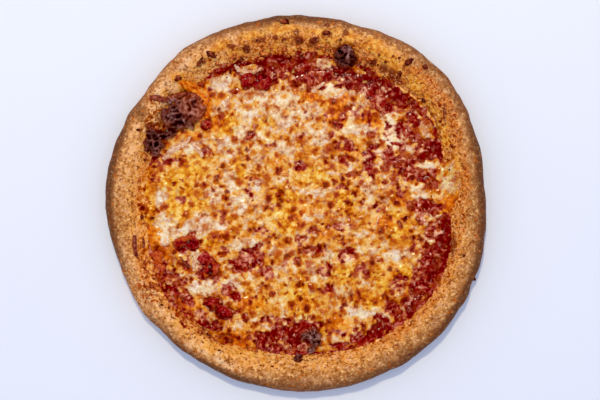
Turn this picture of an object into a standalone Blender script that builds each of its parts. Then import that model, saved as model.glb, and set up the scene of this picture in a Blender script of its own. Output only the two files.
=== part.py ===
"""A baked cheese pizza of 12 inches nominal, lying flat with its topping up.

The crust is one solid: a thin floor and a puffed rim that is wider and higher in some places than in others.
On its floor lies the tomato sauce, and on that the melted cheese, which stops short of the rim and has pools
in it. Three charred bubbles and six pieces of tomato lie on top. The origin is the middle of the flat
underside. +X is to the right and +Y is away from the viewer, in metres, with +Z up.
"""

import math

import bmesh
import bpy
from mathutils import Vector, noise

MM = 0.001

# Crust. Fractions are shares of the rim's width, counted inwards from the outer edge.
CRUST_RADIUS = 152.5 * MM
TOPPING_RADIUS = 124.0 * MM
OUTLINE_CENTRE = (0.0, -0.9 * MM)
BASE_THICKNESS = 4.0 * MM
RIM_HEIGHT = 22.0 * MM
WAIST_HEIGHT = 9.0 * MM
UNDERCUT = 0.27
CREST = 0.45
SLOPE_FOOT = 1.25
SLOPE_STEPS = 8
SHOULDER_STEPS = 4
UNDERCUT_STEPS = 3

# Bulges and hollows of the outer edge, of the topping's edge and of the rim's height:
# (direction in degrees, half width in degrees, amount).
OUTER_BULGES = ((44, 26, 7.0), (68, 8, -1.6), (128, 14, 2.5), (141, 8, -1.8), (168, 16, 1.8), (200, 9, -2.4),
                (222, 6, -1.2), (245, 28, -3.8), (320, 22, 4.5), (345, 12, 2.0))
TOPPING_BULGES = ((330, 25, 6.0), (30, 15, 4.0), (95, 18, -5.0), (135, 12, 3.0), (270, 10, -2.5))
HEIGHT_BULGES = ((20, 30, 0.04), (75, 20, -0.08), (150, 25, 0.05), (215, 20, -0.06), (300, 35, 0.06))

# Sauce and cheese
LAYER_GAP = 0.3 * MM
SAUCE_LEVEL = 5.5 * MM
SAUCE_ON_SLOPE = 0.7 * MM
SAUCE_LUMPS = 0.8 * MM
CHEESE_BOTTOM = SAUCE_LEVEL + LAYER_GAP
CHEESE_THICKNESS = 2.7 * MM
CHEESE_EDGE_THICKNESS = 1.0 * MM
CHEESE_BUMPS = 0.9 * MM
SEAT_LEVEL = 7.6 * MM
SHELF_ON_SAUCE = SAUCE_LEVEL + LAYER_GAP
SHELF_ON_CHEESE = SEAT_LEVEL + LAYER_GAP
CHEESE_INSET = 9.0
CHEESE_INSETS = ((95, 30, 22.0), (48, 18, 9.0), (28, 14, 8.0), (342, 24, 20.0), (312, 20, 8.0), (273, 22, 15.0),
                 (225, 22, 8.0), (200, 12, 4.0))

# Pools where the cheese is open and the sauce shows: (x, y, half length, half width, turn in degrees), in mm.
POOLS = ((-24, -48, 12, 9, 20), (102, 34, 15, 9, 55), (42, -30, 12, 8, -20), (-42, 55, 10, 8, 10))

# Toppings: (x, y, half length, half width, turn, height, taper, where it lies), in mm and degrees.
CHARRED_BUBBLES = {
    "charred_bubble_left": (-97, 60, 31, 15.5, 43, 9.0, 0.28, "cheese"),
    "charred_bubble_top": (40.5, 117.5, 9.5, 9.5, 0, 9.0, 0.0, "sauce"),
    "charred_bubble_bottom": (12, -114.5, 14.5, 8.0, 47, 6.0, 0.25, "sauce"),
}
TOMATO_CHUNKS = {
    "tomato_chunk_top": (-31.5, 99, 13, 7.5, -4, 4.0, 0.1, "sauce"),
    "tomato_chunk_left": (-88.5, -33, 10, 7, 25, 3.0, 0.1, "cheese"),
    "tomato_chunk_lower_left": (-70, -50, 11.5, 8, 70, 3.0, 0.1, "cheese"),
    "tomato_chunk_bottom_left": (-62.5, -86, 13, 5.2, -33, 3.5, 0.15, "cheese"),
    "tomato_chunk_rim_left": (-111, -50, 12, 6.5, 82, 2.4, 0.1, "sauce"),
    "tomato_chunk_small": (-69.5, 61.5, 4.6, 3.4, 75, 3.0, 0.0, "cheese"),
}
TOPPING_EDGE = 0.7 * MM
SEAT_MARGIN = 8.0 * MM

# Burnt flakes and shreds baked onto the rim: (x, y, length, width, turn in degrees), in mm.
FLAKES = ((-7, 144, 8, 4.5, 0), (-67, 118, 7.5, 5, -20), (-39, 123, 6, 5, 30), (0, 135, 8, 3.5, 110),
          (24, 141.5, 7, 4.5, 10), (15.5, 129.5, 6, 4.5, 40), (63, 112.5, 6, 3.5, 20), (90.5, 112, 9.5, 4.5, 35),
          (84, 102.5, 8, 3.5, 60), (104.5, 108, 4.5, 4, 0), (101, 82.5, 4.5, 4, 0), (-76, 112.5, 9, 3, 55),
          (-109, 82, 12, 4.5, -10), (-128, -35.5, 14, 4, 95), (-62, 134.5, 6, 3, 25), (-71, -112, 8, 5, -60),
          (-80, -107, 6, 4, -50))
FLAKE_HEIGHT = 3.2 * MM
FLAKE_SUNK = 0.5 * MM

GRID_CELLS = 36
SECTORS = 4 * GRID_CELLS

CRUST_TAN = (0.56, 0.30, 0.11)
SAUCE_RED = (0.30, 0.012, 0.006)
CHEESE_YELLOW = (0.86, 0.55, 0.16)
CHAR_BROWN = (0.035, 0.010, 0.007)
TOMATO_RED = (0.36, 0.008, 0.005)


def clear_scene():
    for thing in list(bpy.data.objects):
        bpy.data.objects.remove(thing, do_unlink=True)


def make_material(name, colour, roughness):
    material = bpy.data.materials.new(name)
    material.use_nodes = True
    shader = material.node_tree.nodes["Principled BSDF"]
    shader.inputs["Base Color"].default_value = (*colour, 1.0)
    shader.inputs["Roughness"].default_value = roughness
    return material


def add_object(name, mesh_builder, material):
    """Close a bmesh into a named, smooth-shaded object with outward faces."""
    bmesh.ops.recalc_face_normals(mesh_builder, faces=mesh_builder.faces[:])
    mesh = bpy.data.meshes.new(name)
    mesh_builder.to_mesh(mesh)
    mesh_builder.free()
    mesh.materials.append(material)
    mesh.shade_smooth()
    mesh.set_sharp_from_angle(angle=math.radians(50))
    thing = bpy.data.objects.new(name, mesh)
    bpy.context.scene.collection.objects.link(thing)
    return thing


def smooth_step(low, high, value):
    share = min(1.0, max(0.0, (value - low) / (high - low)))
    return share * share * (3.0 - 2.0 * share)


def bulged(base, bulges, angle):
    """A value that swells or sinks towards some directions."""
    total = base
    for direction, half_width, amount in bulges:
        turn = (math.degrees(angle) - direction + 180.0) % 360.0 - 180.0
        total += amount * math.exp(-((turn / half_width) ** 2))
    return total


def outer_radius(angle):
    return bulged(CRUST_RADIUS / MM, OUTER_BULGES, angle) * MM


def topping_radius(angle):
    return bulged(TOPPING_RADIUS / MM, TOPPING_BULGES, angle) * MM


def radius_at(angle, fraction):
    """Radius of the place that lies this fraction of the rim's width in from the outer edge."""
    outer = outer_radius(angle)
    return outer - fraction * (outer - topping_radius(angle))


def cheese_radius(angle):
    return topping_radius(angle) - bulged(CHEESE_INSET, CHEESE_INSETS, angle) * MM


def polar(x, y):
    """Angle and radius of a place, about the outline's own centre."""
    dx = x - OUTLINE_CENTRE[0]
    dy = y - OUTLINE_CENTRE[1]
    return math.atan2(dy, dx), math.hypot(dx, dy)


def place(angle, radius):
    x = OUTLINE_CENTRE[0] + radius * math.cos(angle)
    y = OUTLINE_CENTRE[1] + radius * math.sin(angle)
    return x, y


def slope_height(fraction):
    """Height of the rim's inner slope, an S-curve from the crest down to the floor."""
    share = (fraction - CREST) / (SLOPE_FOOT - CREST)
    share = min(1.0, max(0.0, share))
    return BASE_THICKNESS + (RIM_HEIGHT - BASE_THICKNESS) * (0.5 + 0.5 * math.cos(math.pi * share))


def rim_height(x, y):
    """Height of the crust's upper side at a place, with the rim's slow rise and fall."""
    angle, radius = polar(x, y)
    outer = outer_radius(angle)
    fraction = (outer - radius) / (outer - topping_radius(angle))
    if fraction > CREST:
        height = slope_height(fraction)
    else:
        share = max(0.0, 1.0 - fraction / CREST)
        height = WAIST_HEIGHT + (RIM_HEIGHT - WAIST_HEIGHT) * math.sqrt(max(0.0, 1.0 - share * share))
    return swell(angle, height)


def swell(angle, height):
    """Raise or lower what stands above the floor, by the rim's share in that direction."""
    above = max(0.0, height - BASE_THICKNESS)
    return height + above * bulged(0.0, HEIGHT_BULGES, angle)


def in_turned_ellipse(x, y, ellipse, margin=0.0):
    """How far out a place lies in an ellipse that is given in mm: under 1 is inside."""
    centre_x, centre_y, half_length, half_width, turn = (value * MM for value in ellipse[:5])
    turn = math.radians(turn / MM)
    dx = x - centre_x
    dy = y - centre_y
    along = dx * math.cos(turn) + dy * math.sin(turn)
    across = dy * math.cos(turn) - dx * math.sin(turn)
    return math.hypot(along / (half_length + margin), across / (half_width + margin))


def toppings():
    return list(CHARRED_BUBBLES.values()) + list(TOMATO_CHUNKS.values())


def free_of_toppings(x, y):
    """1 in the open and 0 in the flat seat under a topping, with a soft step between."""
    share = 1.0
    for topping in toppings():
        share = min(share, smooth_step(1.0, 1.35, in_turned_ellipse(x, y, topping, SEAT_MARGIN)))
    return share


def lumps(x, y, wavelength, seed):
    """Smooth noise from about -1 to 1."""
    here = Vector((x / wavelength, y / wavelength, seed))
    return 1.3 * noise.noise(here) + 0.6 * noise.noise(here * 2.1)


def pressed_into_disc(u, v):
    """Take a place in the square from -1 to 1 to the unit disc: each square ring becomes a circle."""
    if u == 0.0 and v == 0.0:
        return 0.0, 0.0
    if abs(u) > abs(v):
        return u, math.pi / 4 * v / u
    return v, math.pi / 2 - math.pi / 4 * u / v


def disc_sheet(cells, edge_radius):
    """A round sheet of even cells, whose edge follows a radius given for each direction."""
    sheet = bmesh.new()
    bmesh.ops.create_grid(sheet, x_segments=cells, y_segments=cells, size=1.0)
    for vert in sheet.verts:
        reach, angle = pressed_into_disc(round(vert.co.x, 6), round(vert.co.y, 6))
        across = reach * math.cos(angle)
        along = reach * math.sin(angle)
        direction = math.atan2(along, across)
        radius = abs(reach) * edge_radius(direction)
        vert.co.x, vert.co.y = place(direction, radius)
    return sheet


def add_ring(sheet, fraction):
    """Extrude the sheet's outer edge to the ring at this fraction of the rim's width."""
    edges = [edge for edge in sheet.edges if edge.is_boundary]
    ring = bmesh.ops.extrude_edge_only(sheet, edges=edges)["geom"]
    for vert in ring:
        if isinstance(vert, bmesh.types.BMVert):
            angle, _ = polar(vert.co.x, vert.co.y)
            vert.co.x, vert.co.y = place(angle, radius_at(angle, fraction))


def thicken(sheet, bottom, top):
    """Turn a sheet into a solid between two heights, each given for a place and whether it is on the edge."""
    edge_places = {vert for vert in sheet.verts if vert.is_boundary}
    for vert in sheet.verts:
        vert.co.z = bottom(vert.co.x, vert.co.y)
    on_edge = {(round(vert.co.x, 7), round(vert.co.y, 7)) for vert in edge_places}
    lifted = bmesh.ops.extrude_face_region(sheet, geom=sheet.faces[:], use_keep_orig=True)["geom"]
    for vert in lifted:
        if isinstance(vert, bmesh.types.BMVert):
            at_edge = (round(vert.co.x, 7), round(vert.co.y, 7)) in on_edge
            vert.co.z = top(vert.co.x, vert.co.y, at_edge)


def crust_section():
    """The crust's half section as (fraction, height), from the foot of the inner slope to the underside."""
    points = []
    for step in range(SLOPE_STEPS + 1):
        fraction = SLOPE_FOOT + (CREST - SLOPE_FOOT) * step / SLOPE_STEPS
        points.append((fraction, slope_height(fraction)))
    for step in range(1, SHOULDER_STEPS + 1):
        angle = math.pi / 2 * step / SHOULDER_STEPS
        height = WAIST_HEIGHT + (RIM_HEIGHT - WAIST_HEIGHT) * math.cos(angle)
        points.append((CREST * (1.0 - math.sin(angle)), height))
    for step in range(1, UNDERCUT_STEPS + 1):
        angle = math.pi / 2 * step / UNDERCUT_STEPS
        points.append((UNDERCUT * (1.0 - math.cos(angle)), WAIST_HEIGHT * (1.0 - math.sin(angle))))
    return points


def make_crust(material):
    """Spin the section into a ring with a floor, then push it out of round and roughen the rim."""
    body = bmesh.new()
    rim_width = CRUST_RADIUS - TOPPING_RADIUS
    section = [(CRUST_RADIUS - fraction * rim_width, height) for fraction, height in crust_section()]
    profile = [(0.0, BASE_THICKNESS)] + section + [(0.0, 0.0)]
    verts = [body.verts.new((radius, 0.0, height)) for radius, height in profile]
    for first, second in zip(verts, verts[1:]):
        body.edges.new((first, second))
    bmesh.ops.spin(body, geom=body.verts[:] + body.edges[:], cent=(0, 0, 0), axis=(0, 0, 1),
                   angle=2 * math.pi, steps=SECTORS, use_merge=True)
    bmesh.ops.remove_doubles(body, verts=body.verts[:], dist=0.001 * MM)
    foot = CRUST_RADIUS - SLOPE_FOOT * rim_width
    for vert in body.verts:
        roughen_rim(vert, foot, rim_width)
    return add_object("crust", body, material)


def roughen_rim(vert, foot, rim_width):
    angle = math.atan2(vert.co.y, vert.co.x)
    radius = math.hypot(vert.co.x, vert.co.y)
    fraction = (CRUST_RADIUS - radius) / rim_width
    if radius > foot - 0.01 * MM:
        true_radius = radius_at(angle, fraction)
    else:
        true_radius = radius * radius_at(angle, SLOPE_FOOT) / foot
    x, y = place(angle, true_radius)
    height = vert.co.z
    if height > 0.01 * MM:
        height = swell(angle, height)
    vert.co = (x, y, height)
    upper = smooth_step(1.0 * MM, 8.0 * MM, height) * (1.0 - smooth_step(0.72, 0.95, fraction))
    if upper > 0.0:
        push = 0.9 * MM * lumps(x, y + height, 19 * MM, 3.0) + 0.4 * MM * lumps(x, y - height, 8 * MM, 8.0)
        push *= upper * free_of_toppings(x, y)
        outward = Vector((math.cos(angle), math.sin(angle), 0.0)) * (CREST - fraction) / CREST
        outward.z = max(0.0, (height - WAIST_HEIGHT) / (RIM_HEIGHT - WAIST_HEIGHT))
        vert.co += outward.normalized() * push


def fuse_flakes(crust, material):
    """Join the burnt flakes to the rim with one Boolean union, and remove them."""
    collection = bpy.data.collections.new("flakes")
    for index, flake in enumerate(FLAKES):
        x, y, length, width, turn = flake
        lump = bmesh.new()
        bmesh.ops.create_icosphere(lump, subdivisions=2, radius=0.5)
        for vert in lump.verts:
            swollen = 1.0 + 0.25 * noise.noise(vert.co * 4.0 + Vector((index * 7.3, 0.0, 0.0)))
            along = vert.co.x * length * MM * swollen
            across = vert.co.y * width * MM * swollen
            turned = math.radians(turn)
            vert_x = x * MM + along * math.cos(turned) - across * math.sin(turned)
            vert_y = y * MM + along * math.sin(turned) + across * math.cos(turned)
            rise = vert.co.z * FLAKE_HEIGHT * swollen - FLAKE_SUNK
            vert.co = (vert_x, vert_y, rim_height(vert_x, vert_y) + rise)
        thing = add_object("flake", lump, material)
        bpy.context.scene.collection.objects.unlink(thing)
        collection.objects.link(thing)
    union = crust.modifiers.new("flakes", "BOOLEAN")
    union.operation = "UNION"
    union.operand_type = "COLLECTION"
    union.solver = "EXACT"
    union.collection = collection
    bpy.context.view_layer.objects.active = crust
    bpy.ops.object.modifier_apply(modifier=union.name)
    for thing in list(collection.objects):
        bpy.data.objects.remove(thing, do_unlink=True)
    bpy.data.collections.remove(collection)


def sauce_bottom(x, y):
    return rim_height(x, y) + LAYER_GAP


def is_bare(x, y):
    """1 where no cheese lies within a few millimetres, so that the sauce may be lumpy there."""
    angle, radius = polar(x, y)
    bare = smooth_step(4 * MM, 9 * MM, radius - cheese_radius(angle))
    return bare * free_of_toppings(x, y)


def sauce_top(x, y, at_edge):
    level = max(SAUCE_LEVEL, sauce_bottom(x, y) + SAUCE_ON_SLOPE)
    if at_edge:
        return level
    return level + SAUCE_LUMPS * (0.4 + 0.5 * lumps(x, y, 11 * MM, 5.0)) * is_bare(x, y)


def make_sauce(material):
    """A thin lumpy sheet over the floor, which creeps a little way up the rim's inner slope."""
    ring_step = (SLOPE_FOOT - CREST) / SLOPE_STEPS
    sheet = disc_sheet(GRID_CELLS, lambda angle: radius_at(angle, SLOPE_FOOT))
    for ring in (1, 2):
        add_ring(sheet, SLOPE_FOOT - ring * ring_step)
    thicken(sheet, sauce_bottom, sauce_top)
    return add_object("tomato_sauce", sheet, material)


def open_pools(sheet):
    """Cut the cells in each pool out of the cheese, then round the cut's corners."""
    pooled = []
    for face in sheet.faces:
        middle = face.calc_center_median()
        if any(in_turned_ellipse(middle.x, middle.y, pool) < 1.0 for pool in POOLS):
            pooled.append(face)
    bmesh.ops.delete(sheet, geom=pooled, context="FACES")
    rims = []
    for vert in sheet.verts:
        near = any(in_turned_ellipse(vert.co.x, vert.co.y, pool, 6 * MM) < 1.0 for pool in POOLS)
        if vert.is_boundary and near:
            rims.append(vert)
    for _ in range(2):
        bmesh.ops.smooth_vert(sheet, verts=rims, factor=0.5, use_axis_x=True, use_axis_y=True)


def cheese_top(x, y, at_edge):
    if at_edge:
        return CHEESE_BOTTOM + CHEESE_EDGE_THICKNESS
    bumps = CHEESE_BUMPS * lumps(x, y, 16 * MM, 1.0)
    open_top = CHEESE_BOTTOM + CHEESE_THICKNESS + bumps
    share = free_of_toppings(x, y)
    return SEAT_LEVEL + (open_top - SEAT_LEVEL) * share


def make_cheese(material):
    """The melted cheese: a bumpy sheet with an uneven edge and pools where the sauce shows."""
    sheet = disc_sheet(GRID_CELLS, lambda angle: cheese_radius(angle) + 1.5 * MM * math.sin(13 * angle))
    open_pools(sheet)
    thicken(sheet, lambda x, y: CHEESE_BOTTOM, cheese_top)
    return add_object("cheese", sheet, material)


def bed_height(x, y, shelf):
    """Height of the underside of a topping: level on its shelf, and clear of the rim's slope beyond it."""
    angle, radius = polar(x, y)
    outer = outer_radius(angle)
    fraction = (outer - radius) / (outer - topping_radius(angle))
    over_sauce = (SAUCE_ON_SLOPE + LAYER_GAP) * smooth_step(0.92, 1.03, fraction)
    return max(shelf, rim_height(x, y) + 2 * LAYER_GAP + over_sauce)


def make_topping(name, topping, cells, material, seed):
    """A lumpy pat on a flat seat, draped over the rim's slope where it reaches it."""
    centre_x, centre_y, half_length, half_width, turn, height, taper, bed = topping
    shelf = SHELF_ON_CHEESE if bed == "cheese" else SHELF_ON_SAUCE
    turned = math.radians(turn)
    pat = bmesh.new()
    bmesh.ops.create_grid(pat, x_segments=cells, y_segments=cells, size=1.0)
    reach_at = {}
    for vert in pat.verts:
        reach, angle = pressed_into_disc(round(vert.co.x, 6), round(vert.co.y, 6))
        across = reach * math.sin(angle)
        along = reach * math.cos(angle)
        uneven = 1.0 + 0.12 * noise.noise(Vector((along, across, seed)) * 1.7)
        across *= half_width * (1.0 + taper * along) * uneven * MM
        along *= half_length * uneven * MM
        x = centre_x * MM + along * math.cos(turned) - across * math.sin(turned)
        y = centre_y * MM + along * math.sin(turned) + across * math.cos(turned)
        vert.co.x = x
        vert.co.y = y
        reach_at[(round(vert.co.x, 7), round(vert.co.y, 7))] = abs(reach)

    def dome(x, y, at_edge):
        out = reach_at[(round(x, 7), round(y, 7))]
        rise = TOPPING_EDGE + height * MM * math.sqrt(max(0.0, 1.0 - out * out))
        rise *= 1.0 + 0.3 * lumps(x, y, half_width * MM, seed + 20.0) * (1.0 - out)
        return bed_height(x, y, shelf) + rise

    thicken(pat, lambda x, y: bed_height(x, y, shelf), dome)
    return add_object(name, pat, material)


def main():
    clear_scene()
    crust_material = make_material("crust", CRUST_TAN, 0.75)
    crust = make_crust(crust_material)
    fuse_flakes(crust, crust_material)
    make_sauce(make_material("tomato_sauce", SAUCE_RED, 0.35))
    make_cheese(make_material("cheese", CHEESE_YELLOW, 0.4))
    char = make_material("charred_bubble", CHAR_BROWN, 0.45)
    for index, (name, topping) in enumerate(CHARRED_BUBBLES.items()):
        make_topping(name, topping, 14 if index == 0 else 10, char, 31.0 + index)
    tomato = make_material("tomato_chunk", TOMATO_RED, 0.3)
    for index, (name, topping) in enumerate(TOMATO_CHUNKS.items()):
        make_topping(name, topping, 6, tomato, 41.0 + index)


main()
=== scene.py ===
# %% [markdown]
# # A baked cheese pizza
# This lesson dresses a finished model of a 12 inch pizza. The solids are loaded as a fixed frame. Each
# step then makes one real piece at its true place: crust, sauce, cheese, charred bubbles, tomato and the
# small crumbs.

# %% Load the frame
import math
import random

import bmesh
import bpy
import numpy as np
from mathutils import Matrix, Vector, kdtree, noise


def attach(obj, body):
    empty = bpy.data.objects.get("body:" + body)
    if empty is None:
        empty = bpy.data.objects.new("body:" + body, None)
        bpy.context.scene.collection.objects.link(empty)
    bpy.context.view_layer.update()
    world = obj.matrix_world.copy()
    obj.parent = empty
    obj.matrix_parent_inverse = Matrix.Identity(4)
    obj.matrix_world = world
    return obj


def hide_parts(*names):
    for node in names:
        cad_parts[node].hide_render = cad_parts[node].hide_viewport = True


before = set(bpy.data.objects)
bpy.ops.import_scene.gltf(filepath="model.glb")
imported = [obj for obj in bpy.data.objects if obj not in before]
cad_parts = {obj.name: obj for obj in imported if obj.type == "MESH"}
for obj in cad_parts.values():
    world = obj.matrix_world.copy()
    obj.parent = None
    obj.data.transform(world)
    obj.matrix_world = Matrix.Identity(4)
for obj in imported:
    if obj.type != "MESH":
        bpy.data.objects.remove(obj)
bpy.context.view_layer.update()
MM = 0.001
print("nodes:", sorted(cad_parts))

# %% [markdown]
# ## Places
# Everything on a pizza is found by looking straight down on it. So places are read off the photograph as
# pixels and turned into metres about the middle of the crust. Angles run anticlockwise from the right.

# %% Pixels to metres
PHOTO_SIZE = (600, 400)
PIZZA_MIDDLE_PX = (295.9, 203.5)
PIXEL = 0.809 * MM


def spot(px, py):
    """The place on the pizza that shows at a pixel of the photograph."""
    return (px - PIZZA_MIDDLE_PX[0]) * PIXEL, (PIZZA_MIDDLE_PX[1] - py) * PIXEL


PHOTO_MIDDLE = spot(PHOTO_SIZE[0] / 2, PHOTO_SIZE[1] / 2)
print("photo middle on the table:", [round(v / MM, 2) for v in PHOTO_MIDDLE], "mm")

# %% [markdown]
# ## Camera, lamp, sky and floor
# The photograph looks straight down on a bright table. One fairly small warm lamp stands beyond the far
# edge and a pale blue sky fills the shadows. A long lens keeps the rim from leaning. The camera comes
# first, so that each later step can be looked at.

# %% Camera
OUTLINE_HEIGHT = 9.0 * MM
LENS = 70.0
SENSOR = 36.0
VIEW_BLACK = (0.007, 0.007, 0.007)


def make_camera():
    """A camera over the photograph's middle, so high that a pixel is PIXEL wide at the outline's height."""
    data = bpy.data.cameras.new("camera")
    data.lens = LENS
    data.sensor_width = SENSOR
    camera = bpy.data.objects.new("camera", data)
    camera.location = (*PHOTO_MIDDLE, OUTLINE_HEIGHT + PHOTO_SIZE[0] * PIXEL * LENS / SENSOR)
    bpy.context.scene.collection.objects.link(camera)
    bpy.context.scene.camera = camera
    return camera


def set_view():
    """Colours are shown as they are, but for a slightly lifted black point that keeps dark places deep."""
    view = bpy.context.scene.view_settings
    view.view_transform = "Standard"
    view.use_curve_mapping = True
    view.curve_mapping.black_level = VIEW_BLACK
    view.curve_mapping.update()


camera = make_camera()
set_view()
print("camera height:", round(camera.location.z, 3), "m")

# %% Lamp
LAMP_DISTANCE = 1.5
LAMP_ELEVATION = math.radians(65)
LAMP_DIRECTION = math.radians(97)
LAMP_WIDTH = 0.11
LAMP_POWER = 10.2
LAMP_COLOUR = (1.0, 0.88, 0.64)


def make_lamp():
    data = bpy.data.lights.new("key", "AREA")
    data.shape = "DISK"
    data.size = LAMP_WIDTH
    data.energy = LAMP_POWER
    data.color = LAMP_COLOUR
    lamp = bpy.data.objects.new("key", data)
    lamp.location = (LAMP_DISTANCE * math.cos(LAMP_ELEVATION) * math.cos(LAMP_DIRECTION),
                     LAMP_DISTANCE * math.cos(LAMP_ELEVATION) * math.sin(LAMP_DIRECTION),
                     LAMP_DISTANCE * math.sin(LAMP_ELEVATION))
    lamp.rotation_euler = (-lamp.location).to_track_quat("-Z", "Y").to_euler()
    bpy.context.scene.collection.objects.link(lamp)
    return lamp


lamp = make_lamp()
print("lamp at:", [round(v, 2) for v in lamp.location], "m")

# %% [markdown]
# The room is bright at the sides and dark straight above, where the camera hangs. Reflections don't see
# it, as when a photographer turns a polarising filter: so wet places stay deep in colour, and only the
# lamp glints in them.

# %% Sky
SKY_COLOUR = (0.69, 0.80, 1.12, 1.0)
SKY_SIDES = 1.6
SKY_ABOVE = 0.62


def make_sky():
    world = bpy.data.worlds.new("sky")
    world.use_nodes = True
    tree = world.node_tree
    background = tree.nodes["Background"]
    background.inputs["Color"].default_value = SKY_COLOUR
    place = tree.nodes.new("ShaderNodeTexCoord")
    parts = tree.nodes.new("ShaderNodeSeparateXYZ")
    height = tree.nodes.new("ShaderNodeMapRange")
    height.inputs["From Min"].default_value = 0.0
    height.inputs["From Max"].default_value = 1.0
    height.inputs["To Min"].default_value = SKY_SIDES
    height.inputs["To Max"].default_value = SKY_ABOVE
    tree.links.new(place.outputs["Generated"], parts.inputs["Vector"])
    tree.links.new(parts.outputs["Z"], height.inputs["Value"])
    tree.links.new(height.outputs["Result"], background.inputs["Strength"])
    world.cycles_visibility.glossy = False
    bpy.context.scene.world = world


make_sky()
print("sky strength:", SKY_SIDES, "at the sides and", SKY_ABOVE, "above")

# %% Floor
FLOOR_HALF_WIDTH = 1.5
FLOOR_COLOUR = (0.80, 0.795, 0.785, 1.0)
FLOOR_ROUGHNESS = 0.7


def make_floor():
    sheet = bmesh.new()
    bmesh.ops.create_grid(sheet, x_segments=1, y_segments=1, size=FLOOR_HALF_WIDTH)
    mesh = bpy.data.meshes.new("floor")
    sheet.to_mesh(mesh)
    sheet.free()
    floor = bpy.data.objects.new("floor", mesh)
    bpy.context.scene.collection.objects.link(floor)
    material = bpy.data.materials.new("pale_table")
    material.use_nodes = True
    shader = material.node_tree.nodes["Principled BSDF"]
    shader.inputs["Base Color"].default_value = FLOOR_COLOUR
    shader.inputs["Roughness"].default_value = FLOOR_ROUGHNESS
    mesh.materials.append(material)


make_floor()
print("floor:", 2 * FLOOR_HALF_WIDTH, "m wide")

# %% [markdown]
# ## The outline that every piece shares
# The outline of a hand-stretched crust isn't a circle: it swells towards some directions. One small
# formula adds soft bulges to a radius, and the crust, the sauce and the cheese all read it, so that they
# fit each other. Places across the rim are shares of its width: 0 is the outer edge, and 1 is where the
# toppings begin.

# %% Outline
CRUST_RADIUS = 152.5 * MM
TOPPING_RADIUS = 124.0 * MM
OUTLINE_CENTRE = (0.0, -0.9 * MM)
# Each bulge is (direction and half width in degrees, amount in mm, or as a share for the height).
OUTER_BULGES = (
    (44, 26, 7.0), (68, 8, -1.6), (128, 14, 2.5), (141, 8, -1.8), (168, 16, 1.8), (200, 9, -2.4),
    (222, 6, -1.2), (245, 28, -3.8), (320, 22, 4.5), (345, 12, 2.0))
TOPPING_BULGES = ((330, 25, 6.0), (30, 15, 4.0), (95, 18, -5.0), (135, 12, 3.0), (270, 10, -2.5))
HEIGHT_BULGES = ((20, 30, 0.04), (75, 20, -0.08), (150, 25, 0.05), (215, 20, -0.06), (300, 35, 0.06))


def bulged(base, bulges, angle):
    """A value that swells or sinks towards some directions, for many angles at once."""
    total = np.full_like(angle, base)
    for direction, half_width, amount in bulges:
        turn = (np.degrees(angle) - direction + 180.0) % 360.0 - 180.0
        total += amount * np.exp(-((turn / half_width) ** 2))
    return total


def outer_radius(angle):
    """How far out the crust reaches in each direction."""
    return bulged(CRUST_RADIUS / MM, OUTER_BULGES, angle) * MM


def topping_radius(angle):
    """How far out the toppings reach in each direction."""
    return bulged(TOPPING_RADIUS / MM, TOPPING_BULGES, angle) * MM


def polar(x, y):
    """Direction and distance of many places from the middle of the outline."""
    east, north = x - OUTLINE_CENTRE[0], y - OUTLINE_CENTRE[1]
    return np.arctan2(north, east), np.hypot(east, north)


def rim_fraction(x, y):
    """How far in from the outer edge a place lies, as a share of the rim's width."""
    angle, radius = polar(x, y)
    outer = outer_radius(angle)
    return (outer - radius) / (outer - topping_radius(angle))


every_radius = outer_radius(np.radians(np.arange(360.0))) / MM
print("radius: from", round(float(every_radius.min()), 1), "to", round(float(every_radius.max()), 1), "mm")

# %% [markdown]
# The rim's section is a quarter of an ellipse outside its crest and an S-curve inside, down to the flat
# floor. The waist is its widest level, and below it the side tucks in.

# %% Heights across the rim
BASE_THICKNESS = 4.0 * MM
RIM_HEIGHT = 22.0 * MM
WAIST_HEIGHT = 9.0 * MM
UNDERCUT = 0.27
CREST = 0.45
SLOPE_FOOT = 1.25


def slope_height(fraction):
    """Height of the inner slope, from the crest down to the floor."""
    share = np.clip((fraction - CREST) / (SLOPE_FOOT - CREST), 0.0, 1.0)
    return BASE_THICKNESS + (RIM_HEIGHT - BASE_THICKNESS) * (0.5 + 0.5 * np.cos(np.pi * share))


def swell(angle, height):
    """The rim is higher in some directions and lower in others, but the floor stays level."""
    return height + np.maximum(0.0, height - BASE_THICKNESS) * bulged(0.0, HEIGHT_BULGES, angle)


def crust_height(x, y):
    """Height of the crust's upper side at many places."""
    angle, _ = polar(x, y)
    fraction = rim_fraction(x, y)
    share = np.clip(1.0 - fraction / CREST, 0.0, 1.0)
    shoulder = WAIST_HEIGHT + (RIM_HEIGHT - WAIST_HEIGHT) * np.sqrt(1.0 - share * share)
    return swell(angle, np.where(fraction > CREST, slope_height(fraction), shoulder))


print("height in the middle:", round(float(crust_height(np.zeros(1), np.zeros(1))[0]) / MM, 1), "mm")

# %% [markdown]
# ## Noise and patches
# Noise from Blender's own library gives lumps. A patch is a soft ellipse, placed by a pixel, which says
# where something happens on the pizza: a pool of sauce, a pale stretch of cheese or an oily stain.

# %% Noise
def lumps(x, y, z, wavelength, seed, octaves=2):
    """Smooth noise from about -1 to 1, at many places."""
    scale = 1.0 / wavelength
    return np.array([noise.fractal((a * scale, b * scale, c * scale + seed), 1.0, 2.0, octaves)
                     for a, b, c in zip(x.tolist(), y.tolist(), z.tolist())])


def flat_lumps(x, y, wavelength, seed, octaves=2):
    """The same noise on a level sheet."""
    return lumps(x, y, np.zeros_like(x), wavelength, seed, octaves)


def two_waves(x, y, wavelength, seeds, octaves=2):
    """Two unlike sets of lumps, to push places along x and along y."""
    return [flat_lumps(x, y, wavelength, seed, octaves) for seed in seeds]


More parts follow.
